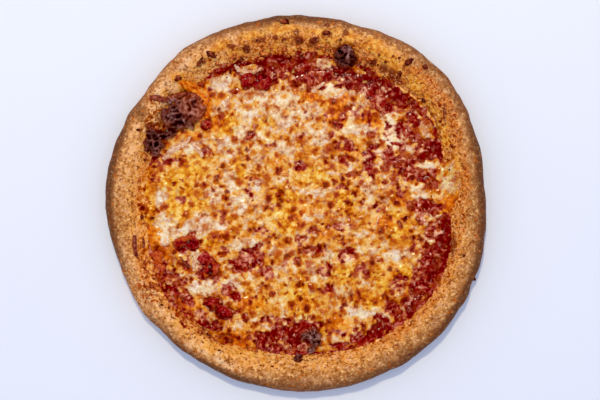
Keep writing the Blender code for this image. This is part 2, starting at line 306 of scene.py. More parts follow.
def old_lumps(x, y, wavelength, seed):
    """The slow lumps that the solids have too."""
    scale = 1.0 / wavelength
    return np.array([1.3 * noise.noise((a * scale, b * scale, seed))
                     + 0.6 * noise.noise((a * scale * 2.1, b * scale * 2.1, seed * 2.1))
                     for a, b in zip(x.tolist(), y.tolist())])


sample = np.linspace(0.0, 50 * MM, 200)
print("noise runs over about", round(float(np.ptp(flat_lumps(sample, sample, 5 * MM, 1.0))), 1))

# %% Patches
def smooth_step(low, high, value):
    """0 at low and 1 at high, with a soft start and end; low may be the larger of the two."""
    share = np.clip((value - low) / (high - low), 0.0, 1.0)
    return share * share * (3.0 - 2.0 * share)


def patch_distance(x, y, patch):
    """Under 1 inside an ellipse: (pixel x, pixel y, half length, half width in mm, turn in degrees)."""
    px, py, half_length, half_width, turn = patch[:5]
    centre_x, centre_y = spot(px, py)
    turn = math.radians(turn)
    along = (x - centre_x) * math.cos(turn) + (y - centre_y) * math.sin(turn)
    across = (y - centre_y) * math.cos(turn) - (x - centre_x) * math.sin(turn)
    return np.hypot(along / (half_length * MM), across / (half_width * MM))


def patch_field(x, y, patches, soft=0.45):
    """1, or a patch's own strength, in the middle of any patch, falling softly to 0 outside all of them."""
    field = np.zeros_like(x)
    for patch in patches:
        strength = patch[5] if len(patch) > 5 else 1.0
        inside = 1.0 - smooth_step(1.0 - soft, 1.0 + soft, patch_distance(x, y, patch))
        field = np.maximum(field, strength * inside)
    return field


def line_distance(x, y, start_px, end_px):
    """Distance to a stroke between two pixels."""
    start_x, start_y = spot(*start_px)
    end_x, end_y = spot(*end_px)
    length = math.hypot(end_x - start_x, end_y - start_y)
    unit_x, unit_y = (end_x - start_x) / length, (end_y - start_y) / length
    along = np.clip((x - start_x) * unit_x + (y - start_y) * unit_y, 0.0, length)
    return np.hypot(x - start_x - along * unit_x, y - start_y - along * unit_y)


middle_x, middle_y = map(np.atleast_1d, spot(300, 200))
print("a patch's field at its middle:", float(patch_field(middle_x, middle_y, ((300, 200, 5, 5, 0),))[0]))

# %% [markdown]
# ## Sheets
# All of the soft layers start as one kind of sheet. A square grid pressed into a disc gives even cells
# with no crowded pole. Its edge is pulled down and closed with one flat face.

# %% Round sheets
BOTTOM = -0.5


def pressed_into_disc(u, v):
    """Take a place in the square from -1 to 1 to the unit disc: each square ring becomes a circle."""
    if u == 0.0 and v == 0.0:
        return 0.0, 0.0
    if abs(u) > abs(v):
        return u, math.pi / 4 * v / u
    return v, math.pi / 2 - math.pi / 4 * u / v


def close_underneath(sheet):
    """Pull the sheet's edge straight down by 1 and close it with one flat face."""
    edges = [edge for edge in sheet.edges if edge.is_boundary]
    skirt = bmesh.ops.extrude_edge_only(sheet, edges=edges)["geom"]
    for vert in skirt:
        if isinstance(vert, bmesh.types.BMVert):
            vert.co.z -= 1.0
    bottom = [edge for edge in skirt if isinstance(edge, bmesh.types.BMEdge)]
    bmesh.ops.edgeloop_fill(sheet, edges=bottom)


def mesh_from(body, name):
    bmesh.ops.recalc_face_normals(body, faces=body.faces[:])
    mesh = bpy.data.meshes.new(name)
    body.to_mesh(mesh)
    body.free()
    return mesh


def disc_mesh(name, cells):
    """A closed round sheet of even cells with a radius of 1: its bottom points lie below BOTTOM."""
    sheet = bmesh.new()
    bmesh.ops.create_grid(sheet, x_segments=cells, y_segments=cells, size=1.0)
    for vert in sheet.verts:
        reach, angle = pressed_into_disc(round(vert.co.x, 6), round(vert.co.y, 6))
        vert.co.x = reach * math.cos(angle)
        vert.co.y = reach * math.sin(angle)
    close_underneath(sheet)
    return mesh_from(sheet, name)


print("a corner of the grid goes to:", [round(v, 3) for v in pressed_into_disc(1.0, 1.0)])

# %% Points, numbers and pieces
def get_points(mesh):
    points = np.empty(len(mesh.vertices) * 3)
    mesh.vertices.foreach_get("co", points)
    return points.reshape(-1, 3)


def set_points(mesh, x, y, z):
    mesh.vertices.foreach_set("co", np.stack([x, y, z], axis=1).astype(np.float32).ravel())
    mesh.update()


def set_attribute(mesh, name, values, lowest=0.0, highest=1.0):
    """Keep one number for each point, for the material to read."""
    attribute = mesh.attributes.new(name, "FLOAT", "POINT")
    attribute.data.foreach_set("value", np.clip(values, lowest, highest).astype(np.float32))


def add_piece(name, mesh, material, nodes=()):
    """Shade a mesh smooth, give it its material and let it ride with the pizza."""
    mesh.shade_smooth()
    mesh.materials.append(material)
    piece = bpy.data.objects.new(name, mesh)
    bpy.context.scene.collection.objects.link(piece)
    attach(piece, "root")
    if nodes:
        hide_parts(*nodes)
    triangles = sum(len(face.vertices) - 2 for face in mesh.polygons)
    print(name, len(mesh.vertices), "points", triangles, "triangles")
    return piece


print("nodes to dress:", len(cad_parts))

# %% [markdown]
# ## Materials
# Every finish here is a Principled shader. Its colour comes from noise on Object coordinates and, on all
# but the smallest pieces, from numbers that the mesh carries, such as how browned a point is. A few
# helpers keep the node trees readable.

# %% Material helpers
def colour(red, green, blue):
    """A colour, from 0 to 255, made linear for the shader."""
    linear = []
    for value in (red, green, blue):
        value /= 255.0
        linear.append(value / 12.92 if value <= 0.04045 else ((value + 0.055) / 1.055) ** 2.4)
    return (*linear, 1.0)


class Finish:
    """A Principled material that is built up node by node."""

    def __init__(self, name, roughness):
        self.material = bpy.data.materials.new(name)
        self.material.use_nodes = True
        self.tree = self.material.node_tree
        self.shader = self.tree.nodes["Principled BSDF"]
        self.shader.inputs["Roughness"].default_value = roughness
        self.place = self.tree.nodes.new("ShaderNodeTexCoord").outputs["Object"]

    def link(self, value, socket):
        if isinstance(value, bpy.types.NodeSocket):
            self.tree.links.new(value, socket)
        else:
            socket.default_value = value

    def attribute(self, name):
        """The number that each point of the mesh carries under this name."""
        node = self.tree.nodes.new("ShaderNodeAttribute")
        node.attribute_name = name
        return node.outputs["Fac"]

    def attributes(self, *names):
        return [self.attribute(name) for name in names]

    def grain(self, size, detail=2.0, roughness=0.5, distortion=0.0):
        """Noise from 0 to 1 with grains of this size."""
        node = self.tree.nodes.new("ShaderNodeTexNoise")
        self.tree.links.new(self.place, node.inputs["Vector"])
        node.inputs["Scale"].default_value = 1.0 / size
        node.inputs["Detail"].default_value = detail
        node.inputs["Roughness"].default_value = roughness
        node.inputs["Distortion"].default_value = distortion
        return node.outputs["Fac"]

    def maths(self, operation, first, second):
        node = self.tree.nodes.new("ShaderNodeMath")
        node.operation = operation
        self.link(first, node.inputs[0])
        self.link(second, node.inputs[1])
        return node.outputs["Value"]

    def plus(self, first, second):
        return self.maths("ADD", first, second)

    def minus(self, first, second):
        return self.maths("SUBTRACT", first, second)

    def times(self, first, second):
        return self.maths("MULTIPLY", first, second)

    def spread(self, value, low, high, to_low=0.0, to_high=1.0):
        """Take a value from low and high, smoothly, to two others, which it doesn't pass."""
        node = self.tree.nodes.new("ShaderNodeMapRange")
        node.interpolation_type = "SMOOTHSTEP"
        self.link(value, node.inputs["Value"])
        node.inputs["From Min"].default_value = low
        node.inputs["From Max"].default_value = high
        node.inputs["To Min"].default_value = to_low
        node.inputs["To Max"].default_value = to_high
        return node.outputs["Result"]

    def blend(self, share, first, second):
        node = self.tree.nodes.new("ShaderNodeMix")
        node.data_type = "RGBA"
        self.link(share, node.inputs["Factor"])
        self.link(first, node.inputs["A"])
        self.link(second, node.inputs["B"])
        return node.outputs["Result"]

    def stain(self, under, over, value, low, high, most=1.0):
        """Lay one colour over another where a value runs from low to high, at most this strongly."""
        return self.blend(self.spread(value, low, high, 0.0, most), under, over)

    def ramp(self, value, *stops):
        """A colour for each value, through stops of (value, red, green, blue)."""
        node = self.tree.nodes.new("ShaderNodeValToRGB")
        elements = node.color_ramp.elements
        while len(elements) < len(stops):
            elements.new(0.5)
        for element, (position, *shade) in zip(elements, stops):
            element.position = position
            element.color = colour(*shade)
        self.link(value, node.inputs["Fac"])
        return node.outputs["Color"]

    def base(self, value):
        self.link(value, self.shader.inputs["Base Color"])

    def gloss(self, value):
        self.link(value, self.shader.inputs["Roughness"])

    def wet(self, specular, coat, coat_roughness):
        """A thin film of oil or juice: the coat glints, and the body under it stays deep."""
        self.shader.inputs["Specular IOR Level"].default_value = specular
        self.shader.inputs["Coat Weight"].default_value = coat
        self.shader.inputs["Coat Roughness"].default_value = coat_roughness

    def bump(self, *heights):
        """Stack bumps: (height value, depth in metres) pairs."""
        normal = None
        for height, depth in heights:
            node = self.tree.nodes.new("ShaderNodeBump")
            node.inputs["Strength"].default_value = 1.0
            node.inputs["Distance"].default_value = depth
            self.link(height, node.inputs["Height"])
            if normal is not None:
                self.tree.links.new(normal, node.inputs["Normal"])
            normal = node.outputs["Normal"]
        self.tree.links.new(normal, self.shader.inputs["Normal"])


print("middle grey is", round(colour(128, 128, 128)[0], 3), "to the shader")

# %% [markdown]
# ## The crust
# On the real pizza the rim puffs up round the sauce, browns on its outer edge and keeps a sandy, speckled
# skin. It could be sculpted, but a grid that is bent round the section and pushed out of round by the
# outline formula keeps the true size everywhere.

# %% Crust shape
SLOPE_STEPS = 34
SHOULDER_STEPS = 26
UNDERCUT_STEPS = 12
SECTORS = 1120
RIM_WIDTH = CRUST_RADIUS - TOPPING_RADIUS
MERGE_DISTANCE = 0.001 * MM


def crust_section():
    """The half section as (fraction, height), from the foot of the inner slope to the underside."""
    points = []
    for step in range(SLOPE_STEPS + 1):
        fraction = SLOPE_FOOT + (CREST - SLOPE_FOOT) * step / SLOPE_STEPS
        points.append((fraction, float(slope_height(fraction))))
    for step in range(1, SHOULDER_STEPS + 1):
        angle = math.pi / 2 * step / SHOULDER_STEPS
        height = WAIST_HEIGHT + (RIM_HEIGHT - WAIST_HEIGHT) * math.cos(angle)
        points.append((CREST * (1.0 - math.sin(angle)), height))
    for step in range(1, UNDERCUT_STEPS + 1):
        angle = math.pi / 2 * step / UNDERCUT_STEPS
        points.append((UNDERCUT * (1.0 - math.cos(angle)), WAIST_HEIGHT * (1.0 - math.sin(angle))))
    return points


def bent_ring():
    """A grid bent round into a full turn of the section, with its seam and its two middles merged."""
    body = bmesh.new()
    section = [(0.0, BASE_THICKNESS)]
    section += [(CRUST_RADIUS - fraction * RIM_WIDTH, height) for fraction, height in crust_section()]
    section.append((0.0, 0.0))
    last = len(section) - 1
    bmesh.ops.create_grid(body, x_segments=SECTORS, y_segments=last, size=1.0)
    for vert in body.verts:
        radius, height = section[round((vert.co.y + 1.0) / 2.0 * last)]
        angle = math.pi * (vert.co.x + 1.0)
        vert.co = (radius * math.cos(angle), radius * math.sin(angle), height)
    bmesh.ops.remove_doubles(body, verts=body.verts[:], dist=MERGE_DISTANCE)
    return mesh_from(body, "baked_crust")


crust_mesh = bent_ring()
print("section points:", len(crust_section()), "sectors:", SECTORS)

# %% [markdown]
# The ring is now pushed out of round. The floor inside the slope only follows the outline.

# %% Push the crust out of round
HAIR = 0.01 * MM


def push_out_of_round(mesh):
    """True places of the ring's points: x, y, height, share of the rim's width and direction."""
    points = get_points(mesh)
    foot = CRUST_RADIUS - SLOPE_FOOT * RIM_WIDTH
    angle = np.arctan2(points[:, 1], points[:, 0])
    radius = np.hypot(points[:, 0], points[:, 1])
    fraction = (CRUST_RADIUS - radius) / RIM_WIDTH
    outer = outer_radius(angle)
    width = outer - topping_radius(angle)
    true_radius = np.where(radius > foot - HAIR, outer - fraction * width,
                           radius * (outer - SLOPE_FOOT * width) / foot)
    x = OUTLINE_CENTRE[0] + true_radius * np.cos(angle)
    y = OUTLINE_CENTRE[1] + true_radius * np.sin(angle)
    height = np.where(points[:, 2] > HAIR, swell(angle, points[:, 2]), points[:, 2])
    return x, y, height, fraction, angle


x, y, height, fraction, angle = push_out_of_round(crust_mesh)
print("crust width:", round(float(np.ptp(x)) / MM, 1), "mm")

# %% [markdown]
# Then its skin is roughened. Slow lumps come from the solids, and stay away from the toppings that sit on
# the crust. Finer ones are the small pockets of gas under the skin. On the right a fold runs down the
# inner slope.

# %% Crust relief
# Each seat is a patch that a bubble or a piece of tomato covers.
TOPPING_SEATS = (
    (175, 128.5, 31, 15.5, 43), (345, 57, 9.5, 9.5, 0), (310, 344, 14.5, 8, 47), (256, 80, 13, 7.5, -4),
    (185.5, 243, 10, 7, 25), (208.5, 264, 11.5, 8, 70), (217.5, 308.5, 13, 5.2, -33),
    (158, 264, 12, 6.5, 82), (209, 126.5, 4.6, 3.4, 75))
SEAT_MARGIN = 8.0
FOLD_START = (420, 98)
FOLD_END = (447, 162)
FOLD_DEPTH = 1.1
FOLD_HALF_WIDTH = 1.5 * MM
POCKET_SIZE = 6.5 * MM
GRAIN_SIZE = 2.6 * MM


def free_of_toppings(x, y):
    """0 under a topping's seat and 1 well away from all of them."""
    share = np.ones_like(x)
    for px, py, half_length, half_width, turn in TOPPING_SEATS:
        seat = (px, py, half_length + SEAT_MARGIN, half_width + SEAT_MARGIN, turn)
        share = np.minimum(share, smooth_step(1.0, 1.35, patch_distance(x, y, seat)))
    return share


def roughen_crust(mesh, pocket, grain):
    # The slow lumps fade out towards the table and at the foot of the inner slope.
    upper = smooth_step(1.0 * MM, 8.0 * MM, height) * (1.0 - smooth_step(0.72, 0.95, fraction))
    slow = 0.9 * old_lumps(x, y + height, 19 * MM, 3.0) + 0.25 * old_lumps(x, y - height, 8 * MM, 8.0)
    push = slow * upper * free_of_toppings(x, y)
    # Pockets and grain are shallow on the outer side and deeper from the crest inwards.
    skin = smooth_step(0.5 * MM, 4.0 * MM, height) * (1.0 - smooth_step(0.95, 1.1, fraction))
    side = smooth_step(0.02, 0.30, fraction)
    push += skin * ((0.15 + 0.30 * side) * pocket + (0.12 + 0.30 * side) * grain)
    fold = line_distance(x, y, FOLD_START, FOLD_END)
    push -= FOLD_DEPTH * np.exp(-((fold / FOLD_HALF_WIDTH) ** 2)) * skin
    # Each point moves square to the rim: outwards on the side, upwards on the crest.
    out = np.clip((CREST - fraction) / CREST, -0.6, 1.0)
    up = np.maximum(0.05, (height - WAIST_HEIGHT) / (RIM_HEIGHT - WAIST_HEIGHT))
    push *= MM / np.hypot(out, up)
    set_points(mesh, x + np.cos(angle) * out * push, y + np.sin(angle) * out * push,
               height + up * push * (height > HAIR))


pocket = lumps(x, y, height, POCKET_SIZE, 11.0)
grain = lumps(x, y, height, GRAIN_SIZE, 23.0, 3)
roughen_crust(crust_mesh, pocket, grain)
print("crust height:", round(float(get_points(crust_mesh)[:, 2].max()) / MM, 1), "mm")

# %% [markdown]
# ## Where the crust is brown, golden or oily
# Heat browns the outer edge, and painted shade darkens it further on some sides, while painted light
# makes the dough paler on others. Oil from the cheese stains the inner slope orange, and the crest stays
# a sandy tan. Streaks of melted cheese run up the slope, with scorched strips and burnt spots between them.
# A sixth number in a patch is its strength.

# %% Crust stains
OILY_STAINS = (
    (361, 50, 7, 10, 10, 1.6), (384, 66, 12, 5, -35), (422, 100, 10, 5, -60), (250, 48, 26, 6, 12),
    (300, 40, 22, 6, 0), (148, 200, 8, 32, 0, 1.4), (150, 262, 9, 18, 15, 1.3), (178, 306, 16, 7, -45),
    (190, 84, 12, 6, -40), (464, 180, 5, 11, 5, 1.4), (148, 235, 6, 14, 0), (395, 330, 12, 5, 40))
MELTED_STREAKS = (
    (432, 114, 2.0, 8, 27, 1.2), (438, 126, 2.0, 8, 27, 1.2), (444, 139, 2.0, 8, 20, 1.2),
    (439, 124, 2.6, 15, 24, 1.2), (414, 84, 8, 5, -42, 1.1), (426, 100, 4, 6, 0), (456, 162, 2.5, 9, 5),
    (238, 53, 10, 3, 10), (330, 42, 9, 3.5, -5), (276, 52, 8, 3, 0), (382, 56, 9, 5, -40),
    (395, 70, 8, 4, -45), (286, 32, 16, 4, 0), (252, 38, 12, 4, 15), (350, 40, 8, 4, 0),
    (370, 52, 8, 5, -20), (318, 34, 8, 3, 0), (222, 48, 8, 4, 30), (248, 350, 10, 3, -20),
    (212, 344, 9, 4, -35, 0.9), (184, 324, 8, 4, -45, 0.7), (186, 83, 10, 4, -35, 1.2),
    (262, 357, 8, 3, -15, 0.8), (146, 190, 4, 9, 0), (228, 334, 15, 9, -30, 1.25), (290, 42, 16, 5, 0, 0.5),
    (340, 36, 14, 5, -10, 0.6), (373, 48, 11, 6, -25, 1.0), (345, 38, 9, 4, 0, 1.0),
    (392, 60, 9, 7, -40, 0.9), (246, 352, 14, 5, -15, 0.7))
SCORCHED_STRIPS = (
    (361, 50, 7, 11, 10, 0.8), (260, 44, 28, 6, 6), (315, 45, 30, 7, -4), (392, 78, 24, 7, -40),
    (425, 112, 16, 6, -60), (215, 58, 9, 5, 30, 0.6), (200, 324, 20, 7, -42, 0.35), (150, 285, 12, 6, -70),
    (398, 84, 11, 6, -45, 1.3), (159, 285, 7, 12, 35, 1.5), (146, 258, 4, 12, 15), (158, 120, 8, 14, 0),
    (448, 205, 5, 20, 0), (440, 262, 5, 20, -14), (151, 196, 4.5, 32, 0, 1.4), (146, 262, 5, 12, 15, 1.3))
BURNT_SPOTS = (
    (296, 34, 2.5, 4, 10), (299, 42, 4, 3, 0), (326, 27, 3, 2.2, 0), (327, 36, 4.5, 2.6, 0),
    (314, 42, 4, 3, 0), (302, 54, 3, 3, 0), (262, 42, 4, 2, 0), (276, 40, 3, 2, 0), (247, 50, 3.5, 3, 30),
    (232, 48, 4, 2, 0), (345, 35, 3, 2, 0), (373, 63, 4, 2.4, 20), (241, 60, 3, 2.6, 30),
    (392, 75, 3, 5, 30), (384, 70, 4, 3, 0), (443, 114, 1.6, 7, 5), (436, 124, 1.2, 8, 27, 0.7),
    (430, 112, 1.2, 7, 27, 0.7), (152, 127, 5, 3, 0), (205, 330, 4, 2, -50, 0.6),
    (212, 334, 3.5, 6, 10, 0.8), (198, 322, 4, 2, -50, 0.6), (232, 341, 4, 2, 0, 0.6), (452, 246, 3, 8, 0),
    (160, 140, 3, 8, 0), (163, 287, 6, 2.6, -20, 0.8), (185, 313, 5, 2.4, -30, 0.7))
CHARRED_EDGES = ((140, 110, 5, 12, 30), (165, 345, 10, 4, -40), (110, 215, 3, 8, 0), (215, 34, 8, 3, 25))
print(len(OILY_STAINS), "oily stains,", len(MELTED_STREAKS), "melted streaks,", len(SCORCHED_STRIPS),
      "scorched strips,", len(BURNT_SPOTS), "burnt spots")

# %% [markdown]
# Oil, browning and the painted light and shade on the dough also change with the direction: each of these
# is a value and the bulges that swell or sink it. Where the sides' toast goes below 0 the dough is painted
# paler, as painted light, and the edge's toast is stronger on some sides, as painted shade.

# %% Crust browning, painted light and shade
OILY_START = (0.86, (
    (330, 38, -0.16), (36, 36, -0.52), (88, 24, -0.32), (250, 22, 0.40), (125, 16, 0.16), (200, 12, -0.26)))
OILY_STRENGTH = (0.50, ((320, 40, 0.12), (40, 25, 0.22), (85, 25, 0.10)))
# These two toast tables are browning with painted light and shade: below 0 they pale the dough as painted
# light, above it they darken the edge, partly as painted shade.
SIDE_TOAST_LIGHT_AND_SHADE = (0.08, (
    (325, 36, 0.34), (8, 18, 0.46), (36, 14, 0.24), (185, 16, 0.26), (271, 13, 0.50), (302, 16, 0.28),
    (140, 20, -0.30), (74, 12, -0.10), (212, 10, -0.26), (241, 12, -0.28)))
EDGE_TOAST_AND_SHADE = (0.92, (
    (8, 12, 0.60), (345, 14, 0.40), (38, 14, -0.34), (64, 10, -0.10), (92, 16, 0.70), (130, 12, -0.14),
    (170, 18, 1.10), (209, 9, -0.70), (243, 16, 1.10), (270, 12, -0.50), (330, 14, 0.80)))


def paint_crust(mesh):
    warp = 4.0 * MM * pocket
    # A ragged ring of oil lies inside the place where it starts, and the stains add to it.
    oily_start = bulged(*OILY_START, angle)
    ragged = fraction + 0.12 * pocket + 0.08 * grain
    ring = bulged(*OILY_STRENGTH, angle) * smooth_step(oily_start - 0.10, oily_start + 0.10, ragged)
    stains = patch_field(x + warp, y - warp, OILY_STAINS, 0.6) * smooth_step(0.2, 0.6, fraction)
    strips = patch_field(x + warp, y + warp, SCORCHED_STRIPS, 0.7)
    # Toast runs from -1 for the palest dough to 2 for the darkest edge: it is browning, with painted light
    # below 0 and painted shade added to the edge by direction.
    sides = bulged(*SIDE_TOAST_LIGHT_AND_SHADE, angle) * smooth_step(0.95, 0.35, fraction)
    toast_light_and_shade = bulged(*EDGE_TOAST_AND_SHADE, angle) * smooth_step(0.38, 0.03, fraction) + 0.25 * pocket + sides
    charred = patch_field(x, y, CHARRED_EDGES, 0.7)
    toast_light_and_shade = np.where(charred > 0.0, np.maximum(toast_light_and_shade, charred), toast_light_and_shade)
    set_attribute(mesh, "oil", np.maximum(ring, stains))
    set_attribute(mesh, "toast_light_and_shade", toast_light_and_shade, -1.0, 2.0)
    set_attribute(mesh, "golden", smooth_step(0.25, 0.75, fraction + 0.08 * pocket))
    set_attribute(mesh, "melted", 0.8 * patch_field(x + warp, y + warp, MELTED_STREAKS, 0.6))
    set_attribute(mesh, "scorch", np.maximum(0.55 * strips, 0.55 * ring * smooth_step(0.3, 0.7, ring)))
    set_attribute(mesh, "burnt", patch_field(x + 0.3 * warp, y - 0.3 * warp, BURNT_SPOTS, 0.6))
    set_attribute(mesh, "fleck", 0.5 + 0.8 * grain)
    set_attribute(mesh, "under", smooth_step(3.0 * MM, 0.5 * MM, height))


paint_crust(crust_mesh)
print("numbers on the crust:", [row.name for row in crust_mesh.attributes if row.data_type == "FLOAT"])

# %% [markdown]
# ## The crust's finish
# The dough's colour is built up in layers, as in the oven: plain dough, lighter and darker blotches,
# toast with painted light and shade, oil, scorched strips and melted streaks. Over it comes a speckle that
# is light on the raised grains and dark in the pits, and fine blisters.

# %% Dough colour
def dough_colour(finish):
    """The dough under its speckle: each line lays one stain over what is there."""
    golden, oil, toast_light_and_shade = finish.attributes("golden", "oil", "toast_light_and_shade")
    scorch, melted, burnt = finish.attributes("scorch", "melted", "burnt")
    dough = finish.blend(golden, colour(204, 134, 72), colour(238, 158, 66))
    middle = finish.grain(4.6 * MM, 2.0)
    dough = finish.stain(dough, colour(244, 180, 122), middle, 0.52, 0.66, 0.85)
    dough = finish.stain(dough, colour(166, 92, 34), middle, 0.48, 0.32, 0.8)
    broad = finish.grain(8.0 * MM, 1.5)
    dough = finish.stain(dough, colour(180, 102, 42), broad, 0.50, 0.70, 0.55)
    dough = finish.stain(dough, colour(244, 178, 110), broad, 0.48, 0.30, 0.45)
    # Paler dough where the toast is below 0 is painted light. The toast colour and the darker stain after it
    # are browning, with painted shade on the edge.
    dough = finish.stain(dough, colour(255, 212, 156), toast_light_and_shade, 0.0, -0.5, 0.9)
    dough = finish.blend(toast_light_and_shade, dough, colour(136, 80, 38))
    dough = finish.stain(dough, colour(98, 54, 24), toast_light_and_shade, 0.95, 1.6, 0.8)
    dough = finish.stain(dough, colour(222, 122, 38), oil, 0.1, 0.9, 0.64)
    blotch = finish.plus(scorch, finish.times(finish.minus(finish.grain(4.0 * MM, 1.5), 0.5), 3.0))
    scorched = finish.ramp(blotch, (0.50, 224, 124, 22), (0.74, 180, 76, 6), (0.95, 126, 26, 0))
    dough = finish.stain(dough, scorched, blotch, 0.42, 0.72)
    yellow = finish.ramp(finish.grain(4.0 * MM, 1.0), (0.36, 206, 114, 16), (0.5, 234, 150, 38),
                         (0.62, 248, 184, 84))
    dough = finish.blend(melted, dough, yellow)
    return finish.stain(dough, colour(116, 28, 10), burnt, 0.15, 0.9, 0.85)


# %% Crust finish
def speckled(finish, dough, fine, tiny):
    """Light and dark specks over the dough, from the noise that also bumps it, so light on the raised grains
    and dark in the pits; and dark crumbs where it is scorched.
    """
    fleck, golden, melted = finish.attributes("fleck", "golden", "melted")
    oil, toast_light_and_shade, scorch = finish.attributes("oil", "toast_light_and_shade", "scorch")
    grains = finish.plus(finish.times(fine, 0.45), finish.times(tiny, 0.40))
    speckle = finish.plus(finish.times(fleck, 0.15), grains)
    strength = finish.spread(golden, 0.0, 1.0, 0.72, 0.9)
    strength = finish.times(strength, finish.spread(melted, 0.2, 0.9, 1.0, 0.25))
    darker = finish.times(strength, finish.spread(oil, 0.2, 0.9, 1.0, 0.9))
    lighter = finish.times(strength, finish.spread(oil, 0.2, 0.9, 1.0, 0.6))
    lighter = finish.times(lighter, finish.spread(toast_light_and_shade, 0.3, 1.0, 1.0, 0.28))
    light_share = finish.times(finish.spread(speckle, 0.53, 0.66), lighter)
    dark_share = finish.times(finish.spread(speckle, 0.47, 0.36), darker)
    skin = finish.blend(light_share, dough, colour(252, 196, 120))
    skin = finish.blend(dark_share, skin, colour(118, 48, 12))
    specks = finish.plus(finish.grain(2.4 * MM, 1.0, 0.5, 0.8), finish.times(scorch, 0.14))
    specks = finish.times(finish.spread(specks, 0.56, 0.68, 0.0, 0.7), finish.spread(scorch, 0.05, 0.3))
    return finish.blend(specks, skin, colour(132, 42, 8))


def make_crust_finish():
    finish = Finish("baked_crust", 0.62)
    oil, underside = finish.attributes("oil", "under")
    fine = finish.grain(2.1 * MM, 1.0)
    tiny = finish.grain(1.3 * MM, 1.0)
    skin = speckled(finish, dough_colour(finish), fine, tiny)
    baked = finish.ramp(finish.grain(6 * MM, 4.0, 0.6), (0.35, 120, 76, 40), (0.5, 188, 138, 84),
                        (0.65, 224, 188, 134))
    finish.base(finish.blend(underside, skin, baked))
    finish.gloss(finish.spread(oil, 0.2, 0.9, 0.62, 0.40))
    finish.wet(0.12, 0.0, 0.2)
    finish.bump((fine, 1.0 * MM), (tiny, 0.4 * MM))
    return finish.material


crust = add_piece("baked_crust", crust_mesh, make_crust_finish(), ("crust",))

# %% [markdown]
# ## Blisters
# Melted cheese blisters as it bakes. Each blister browns on top, with an oily orange ring, and between
# the blisters runs a paler net. Over the sauce only that net is left, so the same blisters open the holes
# that the sauce shows through. They are thrown at random in three sizes with a smallest gap between them,
# by a seeded draw.

# %% Throw the blisters
rng = random.Random(12)
BLISTER_REACH = 132 * MM
# Each size is (least and greatest radius, gap to the others in mm, tries).
BLISTER_SIZES = ((2.7, 3.4, 1.8, 500), (1.8, 2.6, 1.5, 3000), (1.2, 1.7, 1.3, 6000))
BOX_SIZE = 6.0 * MM


def throw_blisters():
    """Random places that keep off each other, large ones first: (x, y, radius) for each."""
    boxes = {}
    found = []
    for low_radius, high_radius, gap, tries in BLISTER_SIZES:
        for _ in range(tries):
            radius = rng.uniform(low_radius, high_radius) * MM
            place_x = rng.uniform(-BLISTER_REACH, BLISTER_REACH)
            place_y = rng.uniform(-BLISTER_REACH, BLISTER_REACH)
            if math.hypot(place_x, place_y) > BLISTER_REACH:
                continue
            box = (int(place_x // BOX_SIZE), int(place_y // BOX_SIZE))
            near = [other for i in (-1, 0, 1) for j in (-1, 0, 1)
                    for other in boxes.get((box[0] + i, box[1] + j), ())]
            if any(math.dist((place_x, place_y), (other_x, other_y)) < (radius + other_radius) + gap * MM
                   for other_x, other_y, other_radius in near):
                continue
            boxes.setdefault(box, []).append((place_x, place_y, radius))
            found.append((place_x, place_y, radius))
    return found


blisters = throw_blisters()
print(len(blisters), "blisters")


# %% Find the nearest blisters
CANDIDATES = 4


def nearest_blisters(x, y):
    """Distance to the nearest blister's edge and to the second nearest, and which one is nearest."""
    tree = kdtree.KDTree(len(blisters))
    for index, (place_x, place_y, _) in enumerate(blisters):
        tree.insert((place_x, place_y, 0.0), index)
    tree.balance()
    first = np.empty(len(x))
    second = np.empty(len(x))
    which = np.empty(len(x), dtype=int)
    for index, (a, b) in enumerate(zip(x.tolist(), y.tolist())):
        found = sorted((distance - blisters[other][2], other)
                       for _, other, distance in tree.find_n((a, b, 0.0), CANDIDATES))
        first[index] = found[0][0]
        second[index] = found[1][0]
        which[index] = found[0][1]
    return first, second, which


to_blister = float(nearest_blisters(np.zeros(1), np.zeros(1))[0][0])
print("from the middle to a blister's edge:", round(to_blister / MM, 2), "mm")
